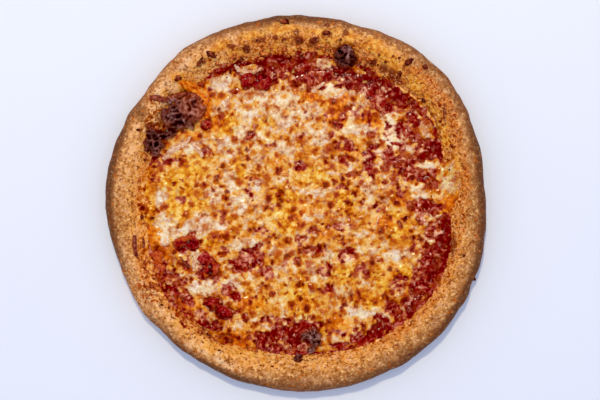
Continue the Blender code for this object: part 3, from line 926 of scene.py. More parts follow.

# %% [markdown]
# ## Where the sauce shows
# The cheese doesn't reach the rim everywhere, and it is open in ragged pools. These patches were placed
# one by one. The same field thins the cheese and lumps the sauce, so that one always ends where the other
# begins.

# %% Pools of bare sauce
SAUCE_PATCHES = (
    (212, 68, 8, 5, 20), (270, 53, 12, 4, 0, 0.8), (296, 52, 14, 5, 0, 0.85), (318, 50, 8, 4, 0, 0.7),
    (225, 62, 9, 4, -15, 0.9), (214, 84, 4, 7, 0, 0.8), (235, 63, 11, 6, 0), (262, 60, 12, 9, 0),
    (284, 62, 15, 11, 0), (272, 68, 8, 7, 0, 1.15), (426, 205, 12, 5, -10, 1.1), (302, 68, 13, 12, 0),
    (234, 91, 6, 3, 0, 0.8), (318, 76, 10, 8, 0), (310, 54, 10, 6, 0), (332, 74, 12, 7, 0),
    (350, 78, 13, 8, -15), (366, 84, 15, 8, -20, 1.3), (343, 74, 14, 6, -6, 1.3), (430, 180, 6, 7, 0, 0.85),
    (385, 80, 10, 6, -30), (378, 97, 9, 9, 0), (392, 98, 9, 9, 0), (386, 110, 10, 4, 0, 0.8),
    (408, 101, 11, 7, -10), (418, 106, 9, 4, -20), (413, 120, 7, 8, 0, 0.8), (408, 132, 7, 8, 0, 0.85),
    (434, 144, 12, 5, -10, 0.9), (438, 154, 11, 6, 10, 0.9), (414, 158, 12, 7, 10, 0.8),
    (400, 162, 7, 5, 0, 0.7), (422, 150, 9, 7, 0, 0.85), (430, 168, 8, 5, 0, 0.7),
    (406, 174, 8, 6, 0, 0.75), (425, 178, 8, 6, 0, 0.65), (382, 152, 8, 5, 0, 0.7),
    (367, 162, 6, 4, 0, 0.7), (352, 112, 5, 6, 0, 0.75), (416, 207, 8, 5, -20), (430, 209, 8, 6, -20),
    (424, 217, 7, 5, 0), (446, 226, 8, 12, -8), (443, 242, 6.5, 9, -10), (436, 232, 5, 9, 0, 0.75),
    (440, 256, 6, 9, -10), (430, 256, 6, 6, -10, 0.8), (432, 268, 10, 7, -40), (423, 276, 9, 8, -50),
    (419, 291, 10, 8, -50), (409, 305, 8, 6, -50), (420, 302, 9, 5, -40), (395, 314, 11, 7, -50),
    (386, 322, 8, 5, -40), (377, 332, 11, 6, 35), (358, 338, 8, 4.5, 15), (338, 332, 5, 3, 0, 0.7),
    (338, 345, 10, 2.5, 5, 0.8), (312, 326, 9, 4, 0, 0.9), (298, 338, 12, 9, 10), (280, 332, 9, 8, 0),
    (276, 350, 12, 6, 0), (296, 352, 9, 5, 0), (262, 338, 10, 7, -15, 0.85), (203, 318, 9, 5, -40, 0.62),
    (216, 326, 5, 6, 0, 0.7), (188, 304, 9, 4, -35, 0.75), (168, 292, 9, 6, -20, 0.85),
    (180, 283, 8, 6, 0, 0.75), (158, 266, 8, 14, 10, 0.9), (187, 243, 10, 8, 20), (188, 262, 6, 5, 45, 0.7),
    (206, 266, 10, 10, 60), (228, 290, 7, 6, 0, 0.8), (219, 309, 14, 6, -33), (256, 80, 16, 9, 0),
    (206, 124, 4, 5, 0), (246, 262, 11, 10, 20, 0.78), (258, 256, 5, 10, 0, 0.8), (268, 274, 7, 6, 30, 0.7),
    (338, 227, 10, 3.5, 0, 0.78), (313, 230, 5, 3, 0, 0.8), (346, 256, 8, 6, 0, 0.72),
    (326, 270, 7, 6, 0, 0.7), (312, 251, 8, 4, 0, 0.68), (238, 292, 5, 8, 0, 0.7),
    (300, 166, 6, 3, 0, 0.68), (250, 135, 6, 4, 0, 0.7), (362, 270, 6, 5, 0, 0.66))
print(len(SAUCE_PATCHES), "pools of sauce")

# %% Stretches of thin, stained cheese
RED_FILM = (
    (164, 160, 12, 6, 0, 1.1), (246, 260, 9, 9, 30), (259, 249, 4, 6, 0), (267, 272, 9, 5, -20),
    (314, 231, 7, 3, 15), (338, 226, 11, 3.5, 5), (350, 255, 9, 5, 0), (207, 108, 3, 14, 5),
    (325, 268, 6, 5, 0), (318, 250, 7, 4, 0), (250, 135, 5, 5, 0), (234, 152, 6, 4, 0), (303, 166, 5, 3, 0),
    (380, 152, 6, 4, 0), (350, 112, 8, 6, 30), (336, 128, 6, 8, 0), (425, 130, 14, 20, -20),
    (412, 165, 16, 10, 0), (392, 100, 18, 9, -30), (312, 84, 16, 5, 0), (240, 75, 18, 9, 0),
    (240, 318, 12, 7, -30), (216, 282, 14, 8, -30), (280, 322, 20, 6, 0), (350, 308, 8, 4, 10),
    (430, 245, 8, 22, -10), (350, 328, 22, 6, 15), (176, 284, 18, 9, -50, 1.1), (345, 160, 8, 6, 0),
    (272, 205, 5, 4, 0), (300, 50, 30, 8, 0), (392, 180, 9, 6, 0), (375, 170, 10, 6, 0),
    (330, 290, 8, 5, 0), (290, 262, 8, 5, 0), (225, 250, 6, 5, 0), (300, 320, 12, 6, 0),
    (200, 320, 10, 8, -40), (262, 230, 5, 4, 0), (360, 200, 6, 4, 0), (180, 200, 6, 4, 0),
    (222, 215, 5, 4, 0), (362, 112, 9, 6, 0), (378, 130, 9, 7, 0), (400, 150, 12, 10, 0),
    (345, 145, 10, 6, 0), (370, 155, 8, 6, 0), (352, 172, 8, 5, 0), (325, 112, 6, 5, 0),
    (390, 165, 12, 8, 0), (430, 172, 9, 12, 0, 1.1), (405, 190, 8, 5, 0), (340, 188, 6, 4, 0),
    (376, 205, 6, 4, 0), (240, 262, 10, 8, 0), (395, 128, 12, 16, 0), (372, 98, 12, 7, 0),
    (430, 120, 8, 12, 0), (455, 245, 6, 20, -8), (330, 85, 14, 5, 0), (232, 60, 14, 7, 0),
    (385, 150, 14, 12, 0), (300, 240, 8, 4, 0), (420, 250, 7, 14, 0), (400, 285, 8, 8, 0),
    (250, 190, 5, 4, 0), (205, 150, 5, 4, 0), (270, 145, 5, 3, 0), (300, 135, 5, 3, 0))
print(len(RED_FILM), "stretches of thin cheese")

# %% Sauce field
CHEESE_ISLANDS = (
    (427, 126, 5, 8, 0), (411, 150, 8, 2.5, 0, 0.4), (321, 58, 4, 8, 0), (361, 66, 3, 6, 0),
    (366, 95, 3.5, 8, 0, 0.6), (222, 82, 8, 7, 0), (207, 66, 4, 3, 0, 0.6), (427, 164, 6, 3, 0, 0.6),
    (394, 116, 7, 3, -10, 0.6), (427, 215, 4, 3.5, 0, 0.8), (250, 92, 9, 3.5, 10), (232, 72, 4, 4, 0, 0.5),
    (248, 67, 10, 3.5, 10, 0.7), (415, 187, 8, 5, 0, 0.7), (451, 178, 8, 14, 0), (405, 292, 5, 3, 50, 0.7),
    (390, 318, 3, 6, 30), (336, 339, 8, 2.5, 0, 0.8), (248, 326, 9, 4, -20, 0.9), (205, 288, 11, 6, 0),
    (165, 283, 5, 3, 0), (196, 260, 3, 6, 20), (352, 320, 14, 7, 0), (262, 328, 6, 3, 0, 0.8),
    (440, 195, 9, 6, 0))
BARE_STRENGTH = 0.80
FILM_STRENGTH = 0.44
ISLAND_STRENGTH = 0.85


def sauce_shows(x, y, filled=ISLAND_STRENGTH):
    """1 where the sauce is bare and 0 under thick cheese; filled is how much the islands close it."""
    wave_x, wave_y = two_waves(x, y, 8 * MM, (31.0, 37.0))
    warped_x = x + 3.0 * MM * wave_x
    warped_y = y + 3.0 * MM * wave_y
    bare = BARE_STRENGTH * patch_field(warped_x, warped_y, SAUCE_PATCHES, 0.55)
    film = FILM_STRENGTH * patch_field(warped_x, warped_y, RED_FILM, 0.5)
    islands = filled * patch_field(warped_x, warped_y, CHEESE_ISLANDS, 0.5)
    return np.clip(np.maximum(bare, film) - islands + 0.14 * wave_y, 0.0, 1.0)


pool_x, pool_y = map(np.atleast_1d, spot(*SAUCE_PATCHES[0][:2]))
print("sauce in the middle of the first pool:", round(float(sauce_shows(pool_x, pool_y)[0]), 2))

# %% [markdown]
# ## The sauce
# Cooked tomato sauce is a wet, lumpy layer with a deep red body and brighter bits, partly pulp and partly
# painted highlight. It creeps a little way up the inner slope of the rim. It is a round sheet that follows
# the crust, closed underneath.

# %% Layers
LAYER_CELLS = 306
LAYER_GAP = 0.3 * MM
SAUCE_LEVEL = 5.5 * MM


def layer_mesh(name, edge_fraction):
    """A round layer out to a share of the rim's width, as a base share and the bulges that change it.

    It gives the mesh, its places, their reach from 0 in the middle to 1 and which points are low.
    """
    mesh = disc_mesh(name, LAYER_CELLS)
    points = get_points(mesh)
    angle = np.arctan2(points[:, 1], points[:, 0])
    reach = np.hypot(points[:, 0], points[:, 1])
    outer = outer_radius(angle)
    radius = reach * (outer - bulged(*edge_fraction, angle) * (outer - topping_radius(angle)))
    x = OUTLINE_CENTRE[0] + radius * np.cos(angle)
    y = OUTLINE_CENTRE[1] + radius * np.sin(angle)
    return mesh, x, y, reach, points[:, 2] < BOTTOM


def set_layer(mesh, x, y, low, top):
    """Put the layer's top at its height and its flat bottom just over the crust's base."""
    set_points(mesh, x, y, np.where(low, BASE_THICKNESS + LAYER_GAP, top))


print("a layer has", LAYER_CELLS, "cells each way")

# %% Sauce relief
SAUCE_EDGE = (1.0, (
    (90, 15, -0.28), (117, 9, -0.20), (62, 10, -0.08), (216, 15, -0.30), (204, 8, -0.10), (246, 10, 0.14),
    (185, 20, -0.22), (270, 12, -0.06), (300, 12, -0.12), (332, 24, -0.15), (38, 14, -0.16), (8, 9, 0.08)))
SAUCE_THINS = (0.98, (
    (332, 34, -0.07), (90, 20, -0.07), (120, 10, -0.06), (214, 18, -0.13), (182, 18, 0.20)))
SAUCE_ON_SLOPE = 0.7 * MM
SUNK = 1.2 * MM
PULP_SIZE = 6.0 * MM
BIT_SIZE = 3.0 * MM

sauce_mesh, x, y, reach, low = layer_mesh("wet_sauce", SAUCE_EDGE)
bare = sauce_shows(x, y)
pulp = flat_lumps(x, y, PULP_SIZE, 41.0)
bits = flat_lumps(x, y, BIT_SIZE, 43.0)
base_height = crust_height(x, y)
thins = bulged(*SAUCE_THINS, polar(x, y)[0])
edge_share = smooth_step(thins + 0.04, thins - 0.08, rim_fraction(x, y) + 0.08 * pulp)
fade = smooth_step(1.0, 0.975, reach + 0.01 * pulp)
level = np.maximum(SAUCE_LEVEL, base_height + LAYER_GAP + SAUCE_ON_SLOPE)
top = level + MM * (0.2 + 0.8 * pulp + 0.35 * bits) * smooth_step(0.2, 0.6, bare) * (1.0 - 0.6 * edge_share)
top = fade * top + (1.0 - fade) * np.maximum(base_height - SUNK, BASE_THICKNESS + 0.5 * MM)
set_layer(sauce_mesh, x, y, low, top)
print("sauce height:", round(float(top.max()) / MM, 1), "mm")

# %% [markdown]
# The sauce is darkest where it cooked longest, and thins to oily orange flecks where it ends on the
# dough.

# %% Sauce finish
COOKED_PATCHES = (
    (446, 236, 11, 24, -10), (280, 62, 40, 12, 0, 0.5), (425, 152, 20, 18, 0, 0.7), (436, 268, 10, 12, -40),
    (412, 298, 14, 9, -50), (380, 326, 16, 8, 35), (354, 77, 24, 8, -10, 1.7), (400, 100, 16, 7, -25),
    (440, 150, 10, 7, 0), (300, 340, 20, 7, 0), (212, 318, 14, 8, -35))
set_attribute(sauce_mesh, "pulp", 0.48 + 0.60 * pulp + 0.45 * bits)
set_attribute(sauce_mesh, "thin", edge_share)
set_attribute(sauce_mesh, "cooked", patch_field(x, y, COOKED_PATCHES, 0.7))


def make_sauce_finish():
    finish = Finish("wet_sauce", 0.3)
    pulp, thin, cooked = finish.attributes("pulp", "thin", "cooked")
    # The hue follows the lumps that raise the sauce, so it is paler on their tops; the pale pink at the top
    # of the ramp is partly pulp and partly painted highlight.
    hue = finish.plus(finish.times(pulp, 0.40), finish.times(finish.grain(8.0 * MM, 2.0, 0.5, 1.5), 0.60))
    hue = finish.minus(hue, finish.times(cooked, 0.07))
    red = finish.ramp(hue, (0.34, 104, 2, 4), (0.46, 142, 10, 8), (0.54, 164, 34, 20),
                      (0.61, 190, 88, 58), (0.70, 224, 150, 112))
    slow = finish.grain(11.0 * MM, 1.5, 0.5, 0.8)
    red = finish.stain(red, colour(176, 74, 16), slow, 0.53, 0.66, 0.65)
    red = finish.stain(red, colour(108, 2, 8), slow, 0.46, 0.34, 0.60)
    red = finish.blend(finish.times(cooked, 0.42), red, colour(116, 20, 14))
    fine = finish.grain(4.2 * MM, 1.5, 0.5, 1.4)
    red = finish.stain(red, colour(88, 0, 4), fine, 0.50, 0.34, 0.60)
    # Pale pink bits: partly pulp and cheese, partly painted highlight.
    pale_bits_and_highlights = finish.spread(fine, 0.54, 0.72, 0.0, 0.70)
    pale_bits_and_highlights = finish.times(pale_bits_and_highlights, finish.spread(cooked, 0.3, 1.0, 1.0, 0.45))
    red = finish.blend(pale_bits_and_highlights, red, colour(206, 112, 88))
    flecks = finish.ramp(finish.grain(4.6 * MM, 1.5, 0.5, 0.8), (0.32, 128, 26, 0), (0.41, 180, 78, 12),
                         (0.50, 220, 130, 40), (0.62, 246, 178, 98))
    wander = finish.times(finish.minus(finish.grain(6.0 * MM, 2.0), 0.5), 2.4)
    finish.base(finish.stain(red, flecks, finish.plus(thin, wander), 0.3, 0.8))
    finish.wet(0.06, 0.26, 0.12)
    finish.bump((finish.grain(3.2 * MM, 1.5), 1.2 * MM), (finish.grain(1.3 * MM, 1.0), 0.2 * MM))
    return finish.material


sauce = add_piece("wet_sauce", sauce_mesh, make_sauce_finish(), ("tomato_sauce",))

# %% [markdown]
# ## The cheese
# The cheese is one sheet. Its height is worked out point by point: thick bits stay pale and raised, thin
# stretches turn gold in their own oil, blisters stand up as small domes, and where the sauce is bare only
# the net is left. First come the patches where it is pale, golden, orange or browned to a dark spot.

# %% Pale cheese
PALE_PATCHES = (
    (288, 99, 9, 6, 0), (262, 97, 10, 5, 0), (256, 112, 9, 7, 0), (222, 107, 8, 7, 0), (306, 113, 9, 7, 0),
    (281, 118, 11, 8, 0), (322, 90, 12, 5, 0), (322, 138, 9, 6, 0), (360, 130, 10, 6, 0),
    (386, 120, 8, 5, 0), (285, 152, 8, 6, 0), (231, 180, 5, 8, 0), (215, 195, 7, 6, 0), (240, 205, 6, 7, 0),
    (257, 187, 4, 4, 0), (161, 196, 5, 8, 0), (166, 226, 9, 9, 0), (182, 233, 8, 7, 0), (164, 243, 5, 4, 0),
    (205, 228, 13, 8, 0), (245, 245, 12, 5, 0), (200, 289, 10, 5, 0), (232, 283, 6, 5, 0),
    (320, 195, 6, 4, 0), (305, 218, 5, 4, 0), (370, 190, 6, 5, 0), (420, 194, 6, 7, 0),
    (451, 180, 8, 14, 0, 1.25), (398, 254, 10, 5, 0), (311, 275, 4, 11, 0), (365, 311, 11, 5, 0),
    (345, 292, 7, 5, 0), (330, 256, 5, 5, 0), (192, 147, 7, 4, 30), (225, 145, 8, 4, 0),
    (240, 130, 8, 5, 0), (345, 93, 9, 5, 0), (262, 160, 6, 5, 0), (395, 140, 8, 7, 0),
    (427, 126, 6, 9, 0, 0.7), (383, 91, 4, 5, 0, 0.6), (411, 150, 9, 4, 0, 0.5), (321, 58, 5, 9, 0, 0.8),
    (361, 66, 4, 7, 0, 0.8), (366, 95, 4, 9, 0, 0.5), (222, 82, 9, 7, 0), (207, 66, 5, 5, 0, 0.4),
    (427, 164, 7, 4, 0, 0.4), (427, 215, 5, 4, 0, 0.6), (336, 339, 8, 4, 0, 0.3), (250, 92, 9, 4, 10, 0.6),
    (246, 66, 11, 4, 10, 0.7), (165, 283, 6, 4, 0), (205, 287, 10, 5, 0), (197, 258, 4, 7, 20))
print(len(PALE_PATCHES), "pale patches")

# %% Golden and orange cheese
GOLDEN_PATCHES = (
    (225, 125, 13, 9, 0), (196, 166, 12, 12, 0), (196, 202, 10, 9, 0), (284, 212, 15, 22, 0),
    (298, 298, 16, 16, 0), (265, 122, 9, 5, 0), (240, 170, 7, 8, 0), (396, 226, 11, 15, 0),
    (385, 280, 10, 13, 0), (368, 300, 12, 9, 0), (404, 272, 8, 7, 0), (212, 241, 9, 5, 0),
    (260, 305, 9, 8, 0), (312, 175, 18, 9, 0), (180, 205, 12, 16, 0), (345, 200, 12, 9, 0),
    (310, 330, 14, 6, 0), (345, 275, 14, 10, 0), (180, 180, 14, 14, 0), (148, 200, 6, 24, 0))
ORANGE_PATCHES = (
    (337, 112, 9, 14, 0, 1.2), (344, 94, 7, 6, 0), (312, 97, 8, 5, 0), (368, 118, 7, 5, 0),
    (378, 124, 7, 4, 0), (355, 150, 12, 6, 0, 0.6), (216, 124, 8, 6, 0), (220, 100, 5, 6, 0),
    (300, 212, 12, 12, 0, 0.7), (153, 236, 9, 8, 0), (250, 304, 14, 7, 0, 0.8), (222, 236, 8, 5, 0),
    (402, 202, 8, 5, 0), (384, 222, 14, 6, 0, 0.8), (392, 272, 10, 9, 0, 0.7), (215, 264, 5, 8, 0),
    (360, 296, 12, 8, 0, 0.6), (303, 305, 14, 6, 0, 0.7), (192, 306, 14, 6, -20, 1.3),
    (182, 322, 14, 6, -40), (240, 342, 9, 8, -40), (448, 204, 8, 7, 0), (296, 36, 6, 6, 0),
    (358, 48, 6, 8, 0), (160, 260, 8, 12, 0, 1.2), (172, 300, 12, 7, -30, 1.3), (166, 282, 6, 8, 0, 1.0),
    (340, 326, 12, 8, 0, 0.9), (276, 160, 9, 5, 0, 0.7), (190, 134, 10, 3, -15, 1.2),
    (206, 104, 4, 14, 0, 1.2), (250, 108, 6, 5, 0, 0.6), (325, 235, 9, 5, 0, 0.7),
    (212, 250, 10, 4, 0, 0.6), (380, 300, 8, 8, 0, 0.6))
print(len(GOLDEN_PATCHES), "golden and", len(ORANGE_PATCHES), "orange patches")

# %% Dark spots
# Each spot is (pixel x, pixel y, half length, half width in mm), and isn't turned.
DARK_SPOTS = (
    (335, 125, 3.6, 4.6), (332, 157, 2.6, 2.4), (357, 173, 2.8, 2.4), (249, 134, 3.2, 3.0),
    (227, 192, 2.6, 2.4), (251, 179, 2.0, 2.0), (217, 176, 2.6, 2.4), (412, 177, 3.4, 3.0),
    (287, 256, 3.0, 3.2), (350, 276, 2.0, 2.0), (191, 243, 2.4, 2.2), (213, 190, 2.2, 2.6),
    (316, 230, 2.6, 2.0), (262, 275, 2.6, 2.2), (240, 258, 2.6, 3.0), (390, 269, 2.6, 2.8),
    (306, 112, 1.8, 1.8), (399, 222, 3.0, 2.2), (247, 150, 2.2, 2.2), (303, 166, 3.2, 1.9),
    (345, 305, 3.4, 2.6), (268, 243, 2.4, 2.4), (246, 321, 2.6, 2.2), (233, 293, 2.4, 2.0),
    (256, 297, 2.2, 2.4))
print(len(DARK_SPOTS), "dark spots")

# %% [markdown]
# Waves push the blisters out of round, and slower lumps make the sheet thick and thin. Each blister is
# given its own heat, which says how far it browned.

# %% Cheese sheet and its noise
CHEESE_EDGE = (0.84, ((8, 11, -0.14), (92, 22, -0.30), (220, 26, -0.30), (178, 18, -0.12)))
HEATS = (0.2, 0.4, 0.55, 0.65, 0.75, 0.85, 0.95, 1.1)

cheese_mesh, x, y, reach, low = layer_mesh("melted_cheese", CHEESE_EDGE)
wave_x, wave_y = two_waves(x, y, 4.2 * MM, (61.0, 67.0))
rough_x, rough_y = two_waves(x, y, 2.4 * MM, (81.0, 83.0), 1)
blister_x = x + MM * (1.9 * wave_x + 1.2 * rough_x)
blister_y = y + MM * (1.9 * wave_y + 1.2 * rough_y)
first, second, which = nearest_blisters(blister_x, blister_y)
radii = np.array([radius for _, _, radius in blisters])[which]
heat = np.array([rng.choice(HEATS) for _ in blisters])[which]
broad = flat_lumps(x, y, 17 * MM, 51.0)
middle = flat_lumps(x, y, 8.0 * MM, 53.0)
fine = flat_lumps(x, y, 3.6 * MM, 57.0)
blob = flat_lumps(x, y, 7.0 * MM, 71.0)
print("points in blisters:", round(float((first < 0.0).mean()) * 100), "%")

# %% Cheese relief
CHEESE_CREEP = ((92, 20, -0.30), (220, 24, -0.28), (180, 16, -0.10), (9, 11, -0.34), (330, 25, 0.04))
CREEP_START = 1.06
CHEESE_THICKNESS = 2.6 * MM
THINNEST_CHEESE = 0.9 * MM
CHEESE_FILM = 1.0 * MM

bare = sauce_shows(x, y)
fraction = rim_fraction(x, y)
base_height = crust_height(x, y)
# How far between two blisters a point lies, and how high it stands on the dome of one.
between = np.clip(first / np.maximum(0.5 * (first + second), 0.4 * MM), 0.0, 1.0)
net = smooth_step(0.5, 0.95, between)
dome = np.sqrt(np.clip(1.0 - np.clip((first + radii) / radii, 0.0, 1.0) ** 2, 0.0, 1.0))
# The cheese opens over the pools and where it ends on the slope, with a ragged edge.
edge_start = bulged(CREEP_START, CHEESE_CREEP, polar(x, y)[0])
edge_gap = smooth_step(0.10, -0.16, fraction - edge_start + 0.14 * middle + 0.08 * fine + 0.10 * broad)
open_value = np.maximum(bare, edge_gap) + 0.55 * middle + 0.32 * fine - 0.14 * net
cover = 1.0 - smooth_step(0.44, 0.56, open_value)
fullness = 1.0 - smooth_step(0.12, 0.54, open_value)
# It is thick in lumps, on the net and on the blisters, and thins before it opens.
thickness = CHEESE_THICKNESS * (0.75 + 0.25 * broad - 0.35 * smooth_step(0.1, 0.6, bare))
thickness += MM * (0.5 * net + 0.6 * blob + 0.35 * fine) + 0.40 * radii * dome
thickness = THINNEST_CHEESE + fullness * np.maximum(thickness - THINNEST_CHEESE, 0.0)
# Where it is open, the sheet dips under the sauce.
level = np.maximum(SAUCE_LEVEL, base_height + CHEESE_FILM - CHEESE_THICKNESS)
sunk = np.maximum(SAUCE_LEVEL - 0.8 * MM, base_height - SUNK)
set_layer(cheese_mesh, x, y, low, sunk + cover * (level + thickness - sunk))
print("cheese covers", round(float(cover.mean()) * 100), "% of the sheet")

# %% [markdown]
# The mesh also carries how browned, creamy, orange or golden each point is, how thin its film over the
# sauce, and a tone that runs from light in the net to dark on a hot blister.

# %% Cheese numbers
PALE_PUDDLE = ((448, 180, 10, 14, 0),)
THIN_ISLANDS = 0.45

pushed_x, pushed_y = x + 2 * MM * wave_x, y + 2 * MM * wave_y
pale = patch_field(pushed_x, pushed_y, PALE_PATCHES, 0.6)
orange = patch_field(pushed_x, pushed_y, ORANGE_PATCHES, 0.6)
golden_field = patch_field(x, y, GOLDEN_PATCHES, 0.7)
spot_share = 1.0 - smooth_step(-0.8 * radii, 0.7 * radii, first)
slope_share = smooth_step(1.25, 1.05, fraction)
# Blisters brown by their own heat, and less where the cheese is pale. The dark spots add to them.
brown = spot_share * heat * (1.0 - 0.6 * pale) * (0.95 + 0.6 * broad + 0.4 * rough_x)
for dark_spot in DARK_SPOTS:
    out = patch_distance(x + 1.4 * MM * wave_x, y + 1.4 * MM * wave_y, (*dark_spot, 0))
    brown = np.maximum(brown, 1.1 * (1.0 - smooth_step(0.2, 1.3, out)))
# Noise of three sizes breaks up each number, so that no edge follows a patch.
tone = 0.41 + 0.25 * spot_share * heat + 0.36 * middle + 0.36 * fine + 0.35 * broad
tone = tone + 0.25 * slope_share - 0.12 * pale
cream = 0.12 + 0.65 * blob + 0.40 * fine + 0.38 * net - 0.38 * spot_share * heat + 0.70 * pale
cream = cream - 0.35 * golden_field - 0.3 * slope_share - 0.5 * orange
thin = np.maximum(sauce_shows(x, y, THIN_ISLANDS), edge_gap - 0.1) + 0.35 * middle + 0.25 * fine - 0.15 * pale
film = np.maximum(smooth_step(0.10, 0.60, thin), 0.7 * smooth_step(0.26, 0.50, open_value))
golden = golden_field + 0.5 * broad + patch_field(x, y, PALE_PUDDLE, 0.6)
cheese_numbers = {"brown": brown, "tone": tone, "cream": cream, "orange": orange + 0.25 * middle,
                  "golden": golden, "film": film}
for name, values in cheese_numbers.items():
    set_attribute(cheese_mesh, name, values)
    print(name, "is", round(float(np.clip(values, 0.0, 1.0).mean()), 2), "on average")

# %% [markdown]
# The finish mixes an oily and a creamy cheese, and each of them has three kinds, so that no two places
# are alike. Sauce stains the thin film, and the blisters brown from orange to a dark red brown.

# %% Oily and creamy cheese
def oily_cheese(finish, tone):
    """Thin cheese in its own oil, from sunny yellow to deep orange."""
    golden, orange = finish.attributes("golden", "orange")
    oily = finish.ramp(tone, (0.05, 244, 198, 122), (0.28, 236, 166, 70), (0.50, 220, 130, 30),
                       (0.74, 192, 92, 8), (1.0, 146, 44, 2))
    sunny = finish.ramp(tone, (0.05, 250, 216, 124), (0.28, 246, 188, 68), (0.50, 232, 150, 30),
                        (0.74, 204, 100, 8), (1.0, 154, 46, 2))
    deep = finish.ramp(tone, (0.10, 246, 164, 54), (0.36, 234, 126, 18), (0.60, 206, 90, 8),
                       (0.85, 156, 48, 4))
    oily = finish.stain(oily, sunny, golden, 0.3, 1.0, 0.9)
    return finish.stain(oily, deep, orange, 0.25, 0.9, 0.9)


def creamy_cheese(finish, tone):
    """Thick pale cheese, with milky and pale yellow stretches."""
    golden = finish.attribute("golden")
    creamy = finish.ramp(tone, (0.05, 248, 222, 176), (0.32, 232, 186, 130), (0.58, 210, 142, 88),
                         (0.82, 178, 92, 48), (1.0, 146, 56, 28))
    lime = finish.ramp(tone, (0.05, 242, 228, 168), (0.32, 232, 198, 118), (0.58, 214, 154, 68),
                       (0.82, 190, 96, 34), (1.0, 150, 58, 24))
    milky = finish.ramp(tone, (0.05, 240, 220, 198), (0.32, 226, 182, 148), (0.58, 204, 134, 94),
                        (0.82, 174, 84, 54), (1.0, 144, 52, 32))
    creamy = finish.stain(creamy, lime, golden, 0.15, 1.0, 0.85)
    return finish.stain(creamy, milky, finish.grain(10.0 * MM, 1.5, 0.5, 1.6), 0.50, 0.62, 0.75)


# %% Cheese finish
def browned_cheese(finish, burn):
    """The colour of a blister by how far it browned, in orange and in redder stretches."""
    browned = finish.ramp(burn, (0.0, 222, 126, 34), (0.40, 198, 94, 16), (0.66, 176, 66, 12),
                          (0.88, 138, 34, 12), (1.0, 96, 14, 8))
    reddish = finish.ramp(burn, (0.0, 220, 126, 66), (0.40, 190, 80, 46), (0.66, 160, 42, 30),
                          (0.88, 124, 18, 18), (1.0, 86, 6, 10))
    return finish.blend(finish.spread(finish.grain(9.0 * MM, 1.0), 0.44, 0.60, 0.10, 0.80), browned, reddish)


def make_cheese_finish():
    finish = Finish("melted_cheese", 0.36)
    tone, cream, film, brown = finish.attributes("tone", "cream", "film", "brown")
    breakup = finish.minus(finish.grain(2.2 * MM, 1.0), 0.5)
    mottle = finish.times(finish.minus(finish.grain(3.0 * MM, 1.0, 0.5, 0.5), 0.5), 0.8)
    tone = finish.plus(tone, finish.times(breakup, 0.8))
    burn = finish.plus(brown, finish.times(breakup, 0.35))
    body = finish.stain(oily_cheese(finish, tone), creamy_cheese(finish, tone),
                        finish.plus(cream, mottle), 0.17, 0.56)
    stained = finish.ramp(tone, (0.0, 236, 172, 140), (0.26, 210, 124, 92), (0.50, 176, 70, 48),
                          (0.72, 140, 24, 18), (0.95, 98, 2, 6))
    body = finish.stain(body, stained, finish.plus(film, mottle), 0.22, 0.80)
    finish.base(finish.stain(body, browned_cheese(finish, burn), burn, 0.06, 0.62, 0.9))
    finish.wet(0.06, 0.34, 0.10)
    finish.shader.inputs["Subsurface Weight"].default_value = 0.06
    finish.shader.inputs["Subsurface Radius"].default_value = (1.0, 0.4, 0.1)
    finish.shader.inputs["Subsurface Scale"].default_value = 0.8 * MM
    finish.bump((finish.grain(2.4 * MM, 2.0), 1.2 * MM), (finish.grain(1.1 * MM, 1.0), 0.2 * MM))
    return finish.material


cheese = add_piece("melted_cheese", cheese_mesh, make_cheese_finish(), ("cheese",))

# %% [markdown]
# ## Charred bubbles and tomato
# A gas bubble that rises above the rest burns to a crinkled, almost black shell. The pieces of tomato are
# soft wet lumps. Both are built as a round sheet that stands up in a few overlapping domes, with a ragged
# outline and a wrinkled skin, and dips under the layer below everywhere else.

# %% Lumps
SEAT_LEVEL = 7.6 * MM
DIP = 2.7 * MM
RAGGED_SIZE = 5.0 * MM
FAR_OUT = 9.0


def spread_cover(points, cover):
    """Turn and stretch a disc's points into the patch that the lump may cover."""
    px, py, half_length, half_width, turn = cover
    centre_x, centre_y = spot(px, py)
    turn = math.radians(turn)
    along, across = points[:, 0] * half_length * MM, points[:, 1] * half_width * MM
    return (centre_x + along * math.cos(turn) - across * math.sin(turn),
            centre_y + along * math.sin(turn) + across * math.cos(turn))


def lump_mesh(name, cells, cover, lobes, ragged, wrinkle, wrinkle_size, seed):
    """Domes that stand on the cheese: each lobe is a patch whose sixth number is its height in mm."""
    mesh = disc_mesh(name, cells)
    points = get_points(mesh)
    x, y = spread_cover(points, cover)
    wave_x, wave_y = two_waves(x, y, RAGGED_SIZE, (seed, seed + 5.0), 3)
    warped_x, warped_y = x + ragged * MM * wave_x, y + ragged * MM * wave_y
    dome = np.zeros_like(x)
    nearest = np.full_like(x, FAR_OUT)
    for lobe in lobes:
        out = patch_distance(warped_x, warped_y, lobe)
        dome = np.maximum(dome, lobe[5] * np.sqrt(np.clip(1.0 - out * out, 0.0, 1.0)))
        nearest = np.minimum(nearest, out)
    inside = smooth_step(1.04, 0.94, nearest)
    ridges_and_crease_shade = 1.0 - 2.6 * np.abs(flat_lumps(x, y, wrinkle_size * MM, seed + 9.0))
    small = flat_lumps(x, y, 0.45 * wrinkle_size * MM, seed + 12.0)
    bed = np.maximum(SEAT_LEVEL, crust_height(x, y))
    top = bed + inside * MM * (dome + wrinkle * ridges_and_crease_shade + 0.5 * wrinkle * small) - (1.0 - inside) * DIP
    set_layer(mesh, x, y, points[:, 2] < BOTTOM, top)
    # The finishes read this number to paint the ridges of the wrinkles lighter and the creases darker:
    # painted highlight and painted shade.
    set_attribute(mesh, "ridges_and_crease_shade", 0.5 + 0.35 * ridges_and_crease_shade + 0.25 * small)
    set_attribute(mesh, "edge", smooth_step(0.6, 1.0, nearest))
    return mesh, x, y


print("lumps sit", round(SEAT_LEVEL / MM, 1), "mm up")

